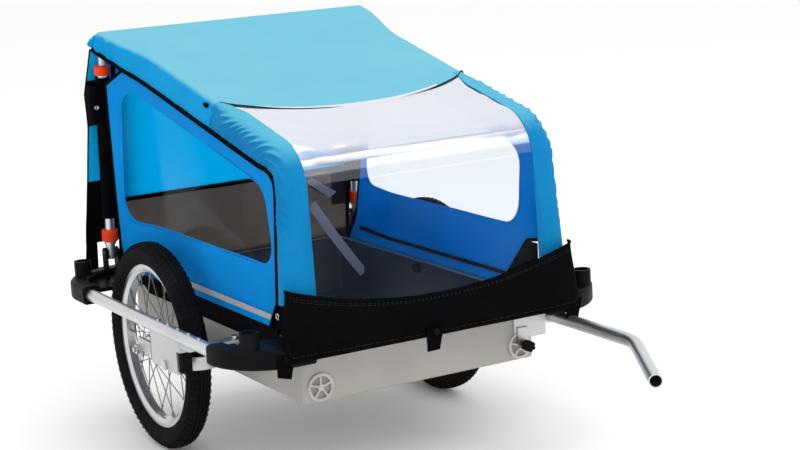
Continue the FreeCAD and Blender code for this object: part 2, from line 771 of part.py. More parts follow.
def make_canopy():
    """Bent canopy tube, front crossbar, corner plates with studs, roof, film and tube sleeves."""
    points = canopy_path()
    bends = [canopy_bend_radius, canopy_rear_radius, canopy_rear_radius, canopy_bend_radius]
    core = sweep(points, bends, canopy_tube_radius)
    hoop = core.cut(sweep(points, bends, canopy_tube_radius - canopy_tube_wall))
    reach = V(canopy_base_half + canopy_tube_radius + overrun, 0, 0)
    pivot = V(0, canopy_base_y, canopy_base_z)
    hoop = hoop.cut(bar(pivot - reach, pivot + reach, frame_pin_radius + pin_gap))
    put("canopy_hoop", hoop)

    rear, corner, base = side_line(0)
    bisector = ((rear - corner).normalize() + (base - corner).normalize()).normalize()
    half_turn = (rear - corner).getAngle(base - corner) / 2
    middle = corner + bisector * (canopy_bend_radius / math.sin(half_turn) - canopy_bend_radius)
    crossbar = bar(middle - V(canopy_bend_half, 0, 0), middle + V(canopy_bend_half, 0, 0), crossbar_radius)
    put("front_crossbar", crossbar.cut(core))

    plate_x = canopy_rear_half + canopy_tube_radius
    along = (corner - rear).normalize()
    start = V(plate_x, rear.y, rear.z) + along * (canopy_rear_radius + corner_plate_overlap)
    end = V(plate_x, post_top.y, post_top.z)
    width = corner_plate_width / 2
    thick = V(corner_plate_thick, 0, 0)
    run = (end - start).normalize()
    rise = V(0, -run.z, run.y) * width
    plate = plate_face([start - rise, end - rise, end + rise, start + rise]).extrude(thick)
    for place in (start, end):
        plate = plate.fuse(bar(place, place + thick, width))
    stud = bar(end, V(knuckle_out, end.y, end.z), frame_pin_radius)
    put("corner_plates", both_sides([plate.fuse(stud).cut(core).removeSplitter()]))

    inner = canopy_tube_radius + seat_gap
    ahead = canopy_bend_y - overrun - canopy_bend_radius
    behind = ring_rear_y
    top = canopy_rear_z + canopy_bend_radius
    roof = cover_band(inner, inner + cloth_thick, roof_half, roof_rear_reach)
    put("roof", roof.common(slab(roof_seam_y, behind, 0, top)))
    film = cover_band(inner, inner + film_thick, film_half, roof_rear_reach)
    film_end = flap_top_z + seat_gap
    film_rear = roof_seam_y - seat_gap
    put("upper_film", film.common(slab(ahead, film_rear, film_end, top)))

    left = points[:3]
    skin = sweep(left, bends[:1], inner + sleeve_thick).cut(sweep(left, bends[:1], inner))
    skin = skin.common(slab(ahead, film_rear, sleeve_stop_z, top))
    film_space = inner + film_thick + seat_gap
    wide = cover_band(inner - sleeve_thick, film_space, film_half + seat_gap, roof_rear_reach)
    put("hoop_sleeves", both_sides([skin.cut(wide).cut(crossbar)]))


def apron_shell(y_out, half, low, high):
    """Solid block with rounded front corners, seen from above."""
    body = box(-half, half, y_out, apron_wing_y, low, high)
    front = [e for e in body.Edges if abs(e.tangentAt(e.FirstParameter).z) > 1 - 1e-6
             and e.BoundBox.YMax < y_out + apron_corner]
    return body.makeFillet(apron_corner, front)


def make_flap():
    """Front flap: sloping clear film over a black apron with three fastening tails."""
    apron_y = ring_front_y - corner_section / 2 - apron_standoff
    low = apron_bottom_z - tail_drop
    shell = apron_shell(apron_y, apron_half, low, apron_top_z)
    hollow = box(-apron_half + cloth_thick, apron_half - cloth_thick, apron_y + cloth_thick,
                 apron_wing_y + overrun, low - overrun, apron_top_z + overrun)
    front = [e for e in hollow.Edges if abs(e.tangentAt(e.FirstParameter).z) > 1 - 1e-6
             and e.BoundBox.YMax < apron_y + apron_corner]
    apron = shell.cut(hollow.makeFillet(apron_corner - cloth_thick, front))
    for side in (-1, 1):
        outer = side * (apron_half + overrun)
        inner = side * apron_wing_half
        apron = apron.cut(box(min(outer, inner), max(outer, inner), apron_y - overrun,
                              apron_wing_y + overrun, low - overrun, apron_wing_z))
    places = (-tail_place_half, 0, tail_place_half)
    edges = [-apron_half - overrun]
    for x in places:
        edges += [x - tail_half, x + tail_half]
    edges.append(apron_half + overrun)
    for left, right in zip(edges[::2], edges[1::2]):
        apron = apron.cut(box(left, right, apron_y - overrun, apron_wing_y + overrun,
                              low - overrun, apron_bottom_z))
    dip_radius = (apron_half ** 2 + apron_dip ** 2) / (2 * apron_dip)
    dip_centre = V(0, 0, apron_top_z - apron_dip + dip_radius)
    scoop_rear = dip_centre + V(0, apron_wing_y + overrun, 0)
    scoop = bar(dip_centre + V(0, apron_y - overrun, 0), scoop_rear, dip_radius)
    apron = apron.cut(scoop)
    put("apron", apron)

    inner = canopy_tube_radius + seat_gap
    rear, corner, base = side_line(inner + film_thick)
    down = (base - corner).normalize()
    hinge = corner + down * ((corner.z - flap_top_z) / -down.z)
    foot_z = apron_top_z - apron_dip
    foot = V(0, apron_y + cloth_thick + seat_gap, foot_z - overrun)
    run = (foot - hinge).normalize()
    through = V(0, -run.z, run.y) * film_thick
    start = hinge + run * seat_gap
    panel = plate_face([start, foot, foot + through, start + through])
    panel.translate(V(-film_half, 0, 0))
    film = panel.extrude(V(2 * film_half, 0, 0))
    put("front_film", film)
    print("flap hinge", hinge + to_origin)


def panel_points():
    """Side panel outline in (y, z): sill, front edge up the hoop, top edge under the tube, rear edge."""
    rear, corner, base = side_line(-panel_under_tube)
    top = (corner - rear).normalize()
    rear_top = rear + top * ((panel_rear_top_y - rear.y) / top.y)
    front = (base - corner).normalize()
    knee_z = panel_sill_z + panel_front_radius
    knee = corner + front * ((corner.z - knee_z) / -front.z)
    return [(panel_low_front_y, panel_bottom_z), (panel_low_rear_y, panel_bottom_z),
            (panel_low_rear_y, panel_sill_z), (panel_rear_low_y, panel_sill_z),
            (rear_top.y, rear_top.z), (corner.y, corner.z), (knee.y, knee.z),
            (panel_sill_front_y, panel_sill_z), (panel_low_front_y, panel_sill_z)]


def window_points():
    """Window corners in (y, z), held inside the panel by its inset."""
    rear, corner, base = side_line(-panel_under_tube - window_inset)
    top = (rear - corner).normalize()
    front_z = corner.z + top.z * (window_front_y - corner.y) / top.y
    rear_z = corner.z + top.z * (window_rear_top_y - corner.y) / top.y
    return [(window_front_y, window_sill_z), (window_rear_low_y, window_sill_z),
            (window_rear_top_y, rear_z), (window_front_y, front_z)]


def round_corners(solid, radius):
    """Round the edges that run through the thickness of a flat plate lying across X."""
    through = [e for e in solid.Edges if abs(e.tangentAt(e.FirstParameter).x) > 1 - 1e-6]
    return solid.makeFillet(radius, through)


def leaned(flat):
    """Tip a flat side piece outwards about its lower edge, beside the tub wall."""
    tip = math.degrees(math.atan2(panel_lean, panel_lean_rise))
    flat.rotate(V(0, 0, panel_bottom_z), V(0, 1, 0), tip)
    flat.translate(V(tub_half + seat_gap, 0, 0))
    return flat


def make_panels():
    """Side panels with their windows, and the rear panel."""
    panel = prism_x(panel_points(), 0, cloth_thick)
    rear, corner, base = side_line(-panel_under_tube)
    knee = [e for e in panel.Edges if abs(e.tangentAt(e.FirstParameter).x) > 1 - 1e-6
            and abs(e.BoundBox.ZMin - corner.z) < seat_gap]
    panel = panel.makeFillet(panel_front_radius, knee)
    pane_x = (cloth_thick - film_thick) / 2
    opening = round_corners(prism_x(window_points(), -overrun, overrun), window_radius)
    pane = round_corners(prism_x(window_points(), pane_x, pane_x + film_thick), window_radius)
    put_pair("side_panel", leaned(panel.cut(opening)))
    put_pair("window", leaned(pane))

    bottom = V(0, tub_rear_y + seat_gap, rear_panel_bottom_z)
    rim = V(0, tub_rear_y + seat_gap, tub_rim_z)
    head = V(0, canopy_rear_y + canopy_tube_radius + seat_gap, canopy_rear_z - canopy_tube_radius)
    out = V(0, cloth_thick, 0)
    sheet = plate_face([bottom, rim, head, head + out, rim + out, bottom + out])
    sheet.translate(V(-rear_panel_half, 0, 0))
    put("rear_panel", sheet.extrude(V(2 * rear_panel_half, 0, 0)))


def post_point(distance):
    return post_foot + post_axis * distance


def make_posts():
    """Rear posts: hinged tube, plug-in rod with a slotted knuckle, two collars and a cloth cover."""
    tube_top = post_length * rod_share
    post = ring(post_point(-post_tail), post_point(tube_top), post_radius, post_radius - post_wall)
    seat = post_point(collar_seat - stop_ring_height)
    post = post.fuse(ring(seat, post_point(collar_seat), stop_ring_radius, post_radius - post_wall))
    reach = V(post_radius + overrun, 0, 0)
    post = post.cut(bar(post_foot - reach, post_foot + reach, frame_pin_radius + pin_gap))
    put_pair("post", post.removeSplitter())

    rod = bar(post_point(tube_top - rod_plug), post_top, rod_radius)
    knuckle_end = V(knuckle_out, post_top.y, post_top.z)
    rod = rod.fuse(bar(V(knuckle_in, post_top.y, post_top.z), knuckle_end, knuckle_radius))
    slot_half = frame_pin_radius + seat_gap
    stretch = knuckle_radius + overrun
    slot = box(knuckle_in - overrun, knuckle_out + overrun, post_top.y, post_top.y + stretch,
               post_top.z - slot_half, post_top.z + slot_half)
    slot = slot.fuse(bar(V(knuckle_in - overrun, post_top.y, post_top.z),
                         V(knuckle_out + overrun, post_top.y, post_top.z), slot_half))
    slot.rotate(post_top, bar_axis, slot_turn_deg)
    put_pair("rod", rod.cut(slot))

    collar = ring(post_point(collar_seat + seat_gap), post_point(collar_seat + collar_height),
                  collar_radius, post_radius + pin_gap)
    put_pair("lower_collar", soft_rims(collar, collar_edge))
    upper = ring(post_point(tube_top + seat_gap), post_point(tube_top + upper_collar_height),
                 upper_collar_radius, rod_radius + pin_gap)
    put_pair("upper_collar", soft_rims(upper, collar_edge))

    low = post_point(cover_bottom)
    cover = Part.makeBox(cover_thick, cover_width, tube_top - cover_top_gap - cover_bottom,
                         V(-cover_thick / 2, -cover_width / 2, 0))
    upright = [e for e in cover.Edges if abs(e.tangentAt(e.FirstParameter).z) > 1 - 1e-6]
    cover = cover.makeFillet(cover_edge, upright)
    cover.rotate(V(0, 0, 0), bar_axis, math.degrees(math.atan2(-post_axis.y, post_axis.z)))
    cover.translate(low)
    whole = bar(post_point(0), post_top, post_radius + seat_gap)
    put_pair("post_cover", cover.cut(whole))


def soft_rims(collar, edge):
    """Round the outer rims of a collar."""
    rounds = [e for e in collar.Edges if isinstance(e.Curve, Part.Circle)]
    widest = max(e.Curve.Radius for e in rounds)
    rims = [e for e in rounds if e.Curve.Radius > widest - seat_gap]
    return collar.makeFillet(edge, rims)


def make_drawbar():
    """Bent drawbar, its socket bracket on the tub corner, and the clamp knob."""
    points = [V(drawbar_x, drawbar_rear_y, drawbar_z), V(drawbar_x, drawbar_bend_y, drawbar_z),
              V(drawbar_tip_x, drawbar_tip_y, drawbar_z)]
    put("drawbar", tube(points, [drawbar_bend_radius], drawbar_radius, drawbar_wall))

    socket_rear = drawbar_rear_y - seat_gap
    socket_front = socket_rear - socket_length
    socket_radius = drawbar_radius + socket_wall
    bore = bar(V(drawbar_x, drawbar_rear_y + overrun, drawbar_z),
               V(drawbar_x, drawbar_bend_y, drawbar_z), drawbar_radius + pin_gap)
    mouth = V(drawbar_x, socket_front, drawbar_z)
    socket = bar(V(drawbar_x, drawbar_rear_y, drawbar_z), mouth, socket_radius)
    side_front = tub_front_y - bracket_thick
    side = box(tub_half, tub_half + bracket_thick, side_front, side_front + bracket_side_length,
               bracket_bottom_z, bracket_top_z)
    web = box(tub_half, drawbar_x, socket_front, side_front + bracket_side_length,
              drawbar_z - bracket_thick / 2, drawbar_z + bracket_thick / 2)
    face = box(bracket_inner_x, drawbar_x - socket_radius, side_front, tub_front_y,
               bracket_bottom_z, bracket_top_z)
    knob_x = vent_half + vent_ring
    tab = box(knob_x - tab_width / 2, knob_x + tab_width / 2, side_front - vent_thick, side_front,
              bracket_bottom_z - tab_drop, bracket_bottom_z + tab_width)
    bracket = socket.fuse([side, web, face, tab]).cut(bore)
    grille_space = bar(V(vent_half, tub_front_y + overrun, vent_z),
                       V(vent_half, tub_front_y - vent_thick, vent_z), vent_radius + seat_gap)
    bracket = bracket.cut(grille_space)
    put("drawbar_bracket", bracket.removeSplitter())

    knob_z = bracket_bottom_z - tab_drop / 2
    tab_face = side_front - vent_thick
    stem_end = V(knob_x, tab_face - knob_stem_length, knob_z)
    stem = bar(V(knob_x, tab_face, knob_z), stem_end, knob_stem_radius)
    knob_end = stem_end - V(0, knob_length, 0)
    knob = bar(stem_end, knob_end, knob_radius)
    for index in range(knob_lobes):
        turn = math.radians(360 * index / knob_lobes)
        offset = V(knob_radius * math.cos(turn), 0, knob_radius * math.sin(turn))
        knob = knob.cut(bar(stem_end + offset, knob_end + offset, knob_groove))
    put("clamp_knob", knob.fuse(stem))


os.makedirs("parts", exist_ok=True)
make_tub()
make_ring()
make_carriers()
make_forks()
make_wheels()
make_canopy()
make_flap()
make_panels()
make_posts()
make_drawbar()
print("moved to origin by", to_origin)
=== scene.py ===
import bpy
import math
from mathutils import Matrix, Vector, noise


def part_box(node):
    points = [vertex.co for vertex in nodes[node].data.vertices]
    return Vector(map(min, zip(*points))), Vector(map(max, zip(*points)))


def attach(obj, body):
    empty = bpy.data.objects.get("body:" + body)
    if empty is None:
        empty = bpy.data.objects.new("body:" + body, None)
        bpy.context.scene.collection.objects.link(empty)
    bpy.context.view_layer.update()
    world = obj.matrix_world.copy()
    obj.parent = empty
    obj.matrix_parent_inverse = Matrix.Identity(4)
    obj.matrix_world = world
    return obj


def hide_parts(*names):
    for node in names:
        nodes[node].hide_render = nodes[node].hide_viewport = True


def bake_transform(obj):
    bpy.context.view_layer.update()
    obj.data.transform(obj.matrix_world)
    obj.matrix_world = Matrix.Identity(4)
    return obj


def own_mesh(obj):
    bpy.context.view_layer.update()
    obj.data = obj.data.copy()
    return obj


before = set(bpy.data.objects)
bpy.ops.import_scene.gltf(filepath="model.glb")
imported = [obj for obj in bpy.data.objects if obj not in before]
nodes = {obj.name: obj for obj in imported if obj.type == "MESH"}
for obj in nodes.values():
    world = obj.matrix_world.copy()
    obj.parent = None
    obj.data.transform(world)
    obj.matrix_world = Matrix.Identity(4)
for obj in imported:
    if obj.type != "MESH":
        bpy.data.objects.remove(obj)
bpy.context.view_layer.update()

# The trailer's sizes are in millimetres from the wheel axis, forward along -Y.
# The axle's node gives that axis its place in the part's own frame.
MM = 0.001
UP = Vector((0, 0, 1))
FORWARD = (0, -1, 0)
axle_low, axle_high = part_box("left_axle")
AXLE_Y = (axle_low.y + axle_high.y) / 2
SIDES = (("left", 1), ("right", -1))

# Canopy tube, seen from the side: rear end, bend and base
HOOP_REAR = (215.0, 773.0)
HOOP_BEND = (-497.0, 609.0)
HOOP_BASE = (-508.0, 318.0)
HOOP_BEND_RADIUS = 75.0
HOOP_HALF_REAR = 258.0
HOOP_HALF_BEND = 247.0
HOOP_HALF_BASE = 268.0

# Edges of the covers along that tube
SEAM_Y = -238.0
SEAM_BOW = 72.0
SEAM_BOW_POWER = 0.8
FLAP_Z = 560.0
FILM_EDGE = 227.0
HEM_DROP = 34.0
HEM_DROP_REAR = 23.0
HEM_DROP_LEG = 18.0
HEM_OUT = 19.0
LEG_LOW_Z = 366.0

# Plane of a side panel
PANEL_FOOT_X = 240.5
PANEL_FOOT_Z = 262.0
PANEL_LEAN = 0.0725
PANEL_FLARE = 24.0
PANEL_FLARE_Y = (40.0, 240.0)
PANEL_FLARE_Z = (270.0, 350.0)

THREAD_RADIUS = 0.4
TAPE_RADIUS = 2.4
PIPING_RADIUS = 4.6
CANVAS_THICK = 1.2
HEAVY_THICK = 1.4
FILM_THICK = 0.8


def at(x, y, z):
    """A point given in millimetres from the wheel axis, in the part's own metres."""
    return Vector((x * MM, y * MM + AXLE_Y, z * MM))


def smooth(low, high, value):
    share = min(1.0, max(0.0, (value - low) / (high - low)))
    return share * share * (3 - 2 * share)


def mix(a, b, share):
    return a + (b - a) * share


def ripple(x, y, z, size, rise=1.0):
    """Soft unevenness between -rise and rise, the same each run."""
    return noise.noise(Vector((x / size, y / size, z / size))) * rise


def along(count, spot):
    """Points or rings spot(share) at even shares from 0 to 1."""
    return [spot(i / count) for i in range(count + 1)]


# Modelling helpers

HARD_ANGLE = 40
SOFT_ANGLE = 60
MERGE_DISTANCE = 1e-6
FLAT_ENOUGH = 0.9


def clear_selection():
    if bpy.context.mode != "OBJECT":
        bpy.ops.object.mode_set(mode="OBJECT")
    bpy.ops.object.select_all(action="DESELECT")


def pick_piece(piece):
    """Make a piece the only one selected and the active one."""
    clear_selection()
    bpy.context.view_layer.objects.active = piece
    piece.select_set(True)


def begin(name, primitive, **sizes):
    """Start a piece from a primitive, which the next steps work over."""
    clear_selection()
    primitive(**sizes)
    piece = bpy.context.object
    piece.name = name
    return piece


def edit_whole():
    """Open the active piece in edit mode with all of it selected."""
    bpy.ops.object.mode_set(mode="EDIT")
    bpy.ops.mesh.select_all(action="SELECT")


def disc(name, sides, radius, depth):
    """Start a round piece from an upright cylinder."""
    return begin(name, bpy.ops.mesh.primitive_cylinder_add, vertices=sides, radius=radius * MM,
                 depth=depth * MM)


def block(name, size):
    """Start a piece from a box, left open in edit mode."""
    piece = begin(name, bpy.ops.mesh.primitive_cube_add, size=1)
    edit_whole()
    bpy.ops.transform.resize(value=tuple(length * MM for length in size))
    return piece


def dish(rim, sink):
    """Inset the selected faces and sink what is inside the rim."""
    bpy.ops.mesh.inset(thickness=rim * MM)
    bpy.ops.transform.translate(value=(0, 0, -sink * MM))


def pick_faces(piece, test):
    """Select in edit mode only the faces that pass a test."""
    pick_piece(piece)
    bpy.ops.object.mode_set(mode="EDIT")
    bpy.ops.mesh.select_mode(type="FACE")
    bpy.ops.mesh.select_all(action="DESELECT")
    bpy.ops.object.mode_set(mode="OBJECT")
    for face in piece.data.polygons:
        face.select = test(face)
    bpy.ops.object.mode_set(mode="EDIT")


def upper_face(face):
    return face.normal.z > FLAT_ENOUGH


def finish_modifier(piece, kind, **settings):
    """Add a modifier, set it and apply it."""
    pick_piece(piece)
    modifier = piece.modifiers.new(kind.title(), kind)
    for key, value in settings.items():
        setattr(modifier, key, value)
    bpy.ops.object.modifier_apply(modifier=modifier.name)


def smooth_faces(piece, degrees=HARD_ANGLE):
    pick_piece(piece)
    bpy.ops.object.shade_smooth_by_angle(angle=math.radians(degrees))


def round_edges(piece, width, segments):
    finish_modifier(piece, "BEVEL", width=width * MM, segments=segments, limit_method="ANGLE")


def outward(piece):
    """Merge doubles and turn all faces outwards."""
    pick_piece(piece)
    edit_whole()
    bpy.ops.mesh.remove_doubles(threshold=MERGE_DISTANCE)
    bpy.ops.mesh.normals_make_consistent(inside=False)
    bpy.ops.object.mode_set(mode="OBJECT")


def settle(piece, spot, facing=UP):
    """Turn a piece that was modelled upright to point along facing, and put it in its place."""
    pick_piece(piece)
    piece.rotation_mode = "QUATERNION"
    piece.rotation_quaternion = UP.rotation_difference(Vector(facing))
    piece.location = spot
    bpy.ops.object.transform_apply(location=True, rotation=True, scale=True)


def paint(piece, material):
    piece.data.materials.clear()
    piece.data.materials.append(material)


def dress(piece, material, body=None):
    """Give a piece its finish and the body that it rides on."""
    paint(piece, material)
    if body:
        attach(piece, body)


def thicken(piece, thick):
    """Turn a sheet's faces outwards, and give it thickness and smooth shading."""
    outward(piece)
    finish_modifier(piece, "SOLIDIFY", thickness=thick * MM, offset=0.0)
    smooth_faces(piece, SOFT_ANGLE)


def cloth(name, columns, rows, place, thick):
    """A sheet: a grid whose points are laid by place(u, v), given its thickness."""
    piece = begin(name, bpy.ops.mesh.primitive_grid_add, x_subdivisions=columns, y_subdivisions=rows, size=1)
    for point in piece.data.vertices:
        point.co = place(point.co.x + 0.5, point.co.y + 0.5)
    thicken(piece, thick)
    return piece


def band(name, first, second, thick):
    """A flat strip between two lines of points."""
    count = len(first) - 1

    def place(u, v):
        index = min(count, round(u * count))
        return first[index].lerp(second[index], v)
    return cloth(name, count, 2, place, thick)


def cordline(name, lines, radius, sides=3):
    """Round edging or thread along one or more lines of points."""
    curve = bpy.data.curves.new(name, "CURVE")
    curve.dimensions = "3D"
    curve.bevel_depth = radius * MM
    curve.bevel_resolution = sides
    curve.use_fill_caps = True
    for points in lines:
        spline = curve.splines.new("POLY")
        spline.points.add(len(points) - 1)
        for slot, point in zip(spline.points, points):
            slot.co = (*point, 1)
    piece = bpy.data.objects.new(name, curve)
    bpy.context.scene.collection.objects.link(piece)
    pick_piece(piece)
    bpy.ops.object.convert(target="MESH")
    piece = bpy.context.object
    outward(piece)
    smooth_faces(piece, SOFT_ANGLE)
    return piece


STITCH_LONG = 3.4
STITCH_GAP = 1.8


def stitching(name, lines):
    """Rows of single stitches along lines of points."""
    stitches = []
    for points in lines:
        carried = 0.0
        for a, b in zip(points, points[1:]):
            length = (b - a).length / MM
            while carried + STITCH_LONG < length:
                first = a.lerp(b, carried / length)
                last = a.lerp(b, (carried + STITCH_LONG) / length)
                stitches.append([first, last])
                carried += STITCH_LONG + STITCH_GAP
            carried = max(0.0, carried - length)
    return cordline(name, stitches, THREAD_RADIUS, sides=0)


def loft(name, rings, thick, cap=False):
    """Skin through rings of points that have equal counts."""
    piece = begin(name, bpy.ops.mesh.primitive_circle_add, vertices=len(rings[0]), radius=1)
    for point, place in zip(piece.data.vertices, rings[0]):
        point.co = place
    bpy.ops.object.mode_set(mode="EDIT")
    bpy.ops.mesh.select_mode(type="VERT")
    bpy.ops.mesh.select_all(action="SELECT")
    for ring in rings[1:]:
        bpy.ops.mesh.extrude_edges_move()
        bpy.ops.object.mode_set(mode="OBJECT")
        picked = [p for p in piece.data.vertices if p.select]
        for point, place in zip(picked, ring):
            point.co = place
        bpy.ops.object.mode_set(mode="EDIT")
    if cap:
        bpy.ops.mesh.edge_face_add()
        bpy.ops.mesh.poke()
    bpy.ops.object.mode_set(mode="OBJECT")
    thicken(piece, thick)
    return piece


# Materials

class Tone:
    """One shader value, with arithmetic that adds Math nodes."""

    def __init__(self, finish, socket):
        self.finish = finish
        self.socket = socket

    def maths(self, operation, first, second):
        return self.finish.node("ShaderNodeMath", {"operation": operation}, {0: first, 1: second})

    def __add__(self, other):
        return self.maths("ADD", self, other)

    def __sub__(self, other):
        return self.maths("SUBTRACT", self, other)

    def __rsub__(self, other):
        return self.maths("SUBTRACT", other, self)

    def __mul__(self, other):
        return self.maths("MULTIPLY", self, other)

    def __truediv__(self, other):
        return self.maths("DIVIDE", self, other)

    def above(self, edge, width):
        return self.finish.node("ShaderNodeMapRange", {"interpolation_type": "SMOOTHSTEP"},
                                {0: self, 1: edge - width / 2, 2: edge + width / 2})

    __radd__ = __add__
    __rmul__ = __mul__


class Finish:
    """A material whose nodes are added one at a time."""

    def __init__(self, name, **shader):
        self.material = bpy.data.materials.new(name)
        self.material.use_nodes = True
        self.tree = self.material.node_tree
        self.shader = self.tree.nodes["Principled BSDF"]
        for key, value in shader.items():
            self.set(key.replace("_", " ").title().replace("Ior", "IOR"), value)

    def feed(self, socket, value):
        """Link a socket to a shader value, or set it."""
        if isinstance(value, Tone):
            self.tree.links.new(value.socket, socket)
        elif socket.type == "RGBA" and len(value) == 3:
            socket.default_value = (*value, 1)
        else:
            socket.default_value = value

    def set(self, name, value):
        self.feed(self.shader.inputs[name], value)

    def node(self, kind, settings, inputs, out=0):
        made = self.tree.nodes.new(kind)
        for key, value in settings.items():
            setattr(made, key, value)
        for key, value in inputs.items():
            self.feed(made.inputs[key], value)
        return Tone(self, made.outputs[out])

    def place(self, stretch=(1, 1, 1)):
        where = self.node("ShaderNodeTexCoord", {}, {}, "Object")
        if stretch == (1, 1, 1):
            return where
        return self.node("ShaderNodeMapping", {}, {"Vector": where, "Scale": stretch})

    def normal(self):
        return self.node("ShaderNodeNewGeometry", {}, {}, "Normal")

    def facing(self, letter):
        return self.node("ShaderNodeSeparateXYZ", {}, {0: self.normal()}, letter)

    def towards(self, middle):
        """Positive where a face looks away from a middle point, negative where it looks at it."""
        from_middle = self.node("ShaderNodeVectorMath", {"operation": "SUBTRACT"},
                                {0: self.place(), 1: middle})
        return self.node("ShaderNodeVectorMath", {"operation": "DOT_PRODUCT"},
                         {0: self.normal(), 1: from_middle}, "Value")

    def grain(self, scale, detail=3.0, stretch=(1, 1, 1)):
        return self.node("ShaderNodeTexNoise", {},
                         {"Vector": self.place(stretch), "Scale": scale, "Detail": detail})

    def waves(self, scale, direction):
        return self.node("ShaderNodeTexWave", {"wave_type": "BANDS", "bands_direction": direction},
                         {"Vector": self.place(), "Scale": scale})

    def blend(self, share, first, second):
        return self.node("ShaderNodeMix", {"data_type": "RGBA"},
                         {"Factor": share, "A": first, "B": second}, 2)

    def colour(self, value):
        self.set("Base Color", value)

    def bump(self, height, depth, strength):
        self.set("Normal", self.node("ShaderNodeBump", {},
                                     {"Height": height, "Distance": depth, "Strength": strength}))

    def mixed(self, kind, tint, share):
        """Mix the shader with a see-through or translucent one; share is the shader's own part."""
        other = self.tree.nodes.new(kind)
        self.feed(other.inputs["Color"], tint)
        joined = self.tree.nodes.new("ShaderNodeMixShader")
        self.feed(joined.inputs[0], share)
        self.tree.links.new(other.outputs[0], joined.inputs[1])
        self.tree.links.new(self.shader.outputs[0], joined.inputs[2])
        self.tree.links.new(joined.outputs[0], self.tree.nodes["Material Output"].inputs[0])


CLOTH_GLOSS = 0.12
THREAD_WAVE = 480.0
# Scales of the finishes' unevenness, per metre
DYE_SCALE = 9.0
FLECK_SCALE = 160.0
CREASE_SCALE = 28.0
BRUSH_SCALE = 60.0
STAIN_SCALE = 7.0
DUST_SCALE = 14.0
GRAIN_SCALE = 420.0
STREAK_SCALE = 6.0
NET_WAVE = 105.0
NET_SCALE = 30.0
# Depths of their relief, in metres
CLOTH_DEPTH = 0.0012
BRUSH_DEPTH = 0.0003
GRAIN_DEPTH = 0.0004
FILM_DEPTH = 0.002
NET_DEPTH = 0.0006
# What is seen through film and net takes these tints
FILM_TINT = (0.94, 0.955, 0.97)
NET_TINT = (1.0, 0.92, 0.86)
# Middle point of the tub, which the painted shade inside it faces
TUB_MIDDLE = (0.0, -100.0, 250.0)


def woven(name, colour, shade, rough, painted_sheen=None, glow=None, glow_share=0.0, gloss=CLOTH_GLOSS):
    """Plain-weave cloth with uneven dye.

    Its tone towards the sky is a painted sheen, a paler tone laid on faces that look up; glow is its tone
    with light behind it.
    """
    made = Finish(name, specular_ior_level=gloss)
    dye = made.grain(DYE_SCALE, 4.0) * 0.7 + made.grain(FLECK_SCALE, 2.0) * 0.3
    tone = made.blend(dye.above(0.5, 0.5), shade, colour)
    # Painted sheen: faces that look up blend towards the paler sky tone, as if lit from above.
    if painted_sheen:
        sky = made.facing("Z").above(0.72, 0.5)
        tone = made.blend(sky * (0.75 + dye * 0.3), tone, painted_sheen)
    made.colour(tone)
    weave = (made.waves(THREAD_WAVE, "X") + made.waves(THREAD_WAVE, "Y")
             + made.waves(THREAD_WAVE, "Z")) / 3.0
    crease = made.grain(CREASE_SCALE, 3.0)
    made.set("Roughness", rough - 0.12 + crease * 0.2)
    made.bump(weave * 0.35 + crease * 1.1, CLOTH_DEPTH, 0.45)
    if glow:
        made.mixed("ShaderNodeBsdfTranslucent", glow, 1.0 - glow_share)
    return made.material


def brushed(made, rough, brush, scratch):
    """Give a finish brush lines and faint stains, and return where it is free of stains."""
    lines = made.grain(BRUSH_SCALE, 4.0, brush)
    stain = made.grain(STAIN_SCALE, 5.0)
    made.set("Roughness", rough + (lines - 0.5) * scratch + (stain - 0.5) * 0.12)
    made.bump(lines, BRUSH_DEPTH, 0.35)
    return stain.above(0.45, 0.6)


def metal(name, colour, rough, brush, scratch=0.1):
    """Aluminium or steel with brush lines and faint stains."""
    made = Finish(name, metallic=1.0)
    dark = tuple(c * 0.8 for c in colour)
    made.colour(made.blend(brushed(made, rough, brush, scratch), dark, colour))
    return made.material


def moulded(name, colour, rough, grain_scale=GRAIN_SCALE):
    """Moulded plastic or rubber: fine grain, dust in the tone and rubbed spots."""
    made = Finish(name, specular_ior_level=0.05)
    dust = made.grain(DUST_SCALE, 5.0)
    pale = tuple(min(1.0, c * 1.4 + 0.002) for c in colour)
    made.colour(made.blend(dust.above(0.6, 0.4), colour, pale))
    made.set("Roughness", rough - 0.1 + dust * 0.2)
    made.bump(made.grain(grain_scale, 2.0), GRAIN_DEPTH, 0.4)
    return made.material


def film(name, low, high, tint, edges):
    """Clear flexible film: see-through face on, bright with reflection at a glance."""
    made = Finish(name, base_color=tint, metallic=1.0)
    streak = made.grain(STREAK_SCALE, 3.0)
    made.set("Roughness", 0.04 + streak * 0.14)
    made.bump(streak, FILM_DEPTH, 0.2)
    glance = made.node("ShaderNodeLayerWeight", {}, {"Blend": 0.5}, "Facing")
    share = made.node("ShaderNodeMapRange", {}, {0: glance, 1: edges[0], 2: edges[1], 3: low, 4: high})
    made.mixed("ShaderNodeBsdfTransparent", FILM_TINT, share + (streak - 0.5) * 0.03)
    return made.material


def netting(name, colour, open_share):
    """Fine black net: small square meshes that show what is behind."""
    made = Finish(name, base_color=colour, roughness=0.8, specular_ior_level=CLOTH_GLOSS)
    holes = made.waves(NET_WAVE, "X") * made.waves(NET_WAVE, "Z")
    made.bump(made.grain(NET_SCALE, 2.0), NET_DEPTH, 0.4)
    made.mixed("ShaderNodeBsdfTransparent", NET_TINT, 1.0 - open_share + (0.25 - holes) * 0.12)
    return made.material


def tub_sheet():
    """Grey sheet metal, dull outside, with painted shade inside."""
    made = Finish("tub sheet", metallic=0.35)
    clean = brushed(made, 0.5, (1, 30, 1), 0.08)
    outer = made.blend(clean, (0.33, 0.315, 0.295), (0.38, 0.36, 0.34))
    outside = made.towards(tuple(at(*TUB_MIDDLE))).above(0.0, 0.01)
    # Painted shade: faces that look towards the tub's middle take a dark blue-grey.
    made.colour(made.blend(outside, (0.08, 0.095, 0.13), outer))
    return made.material
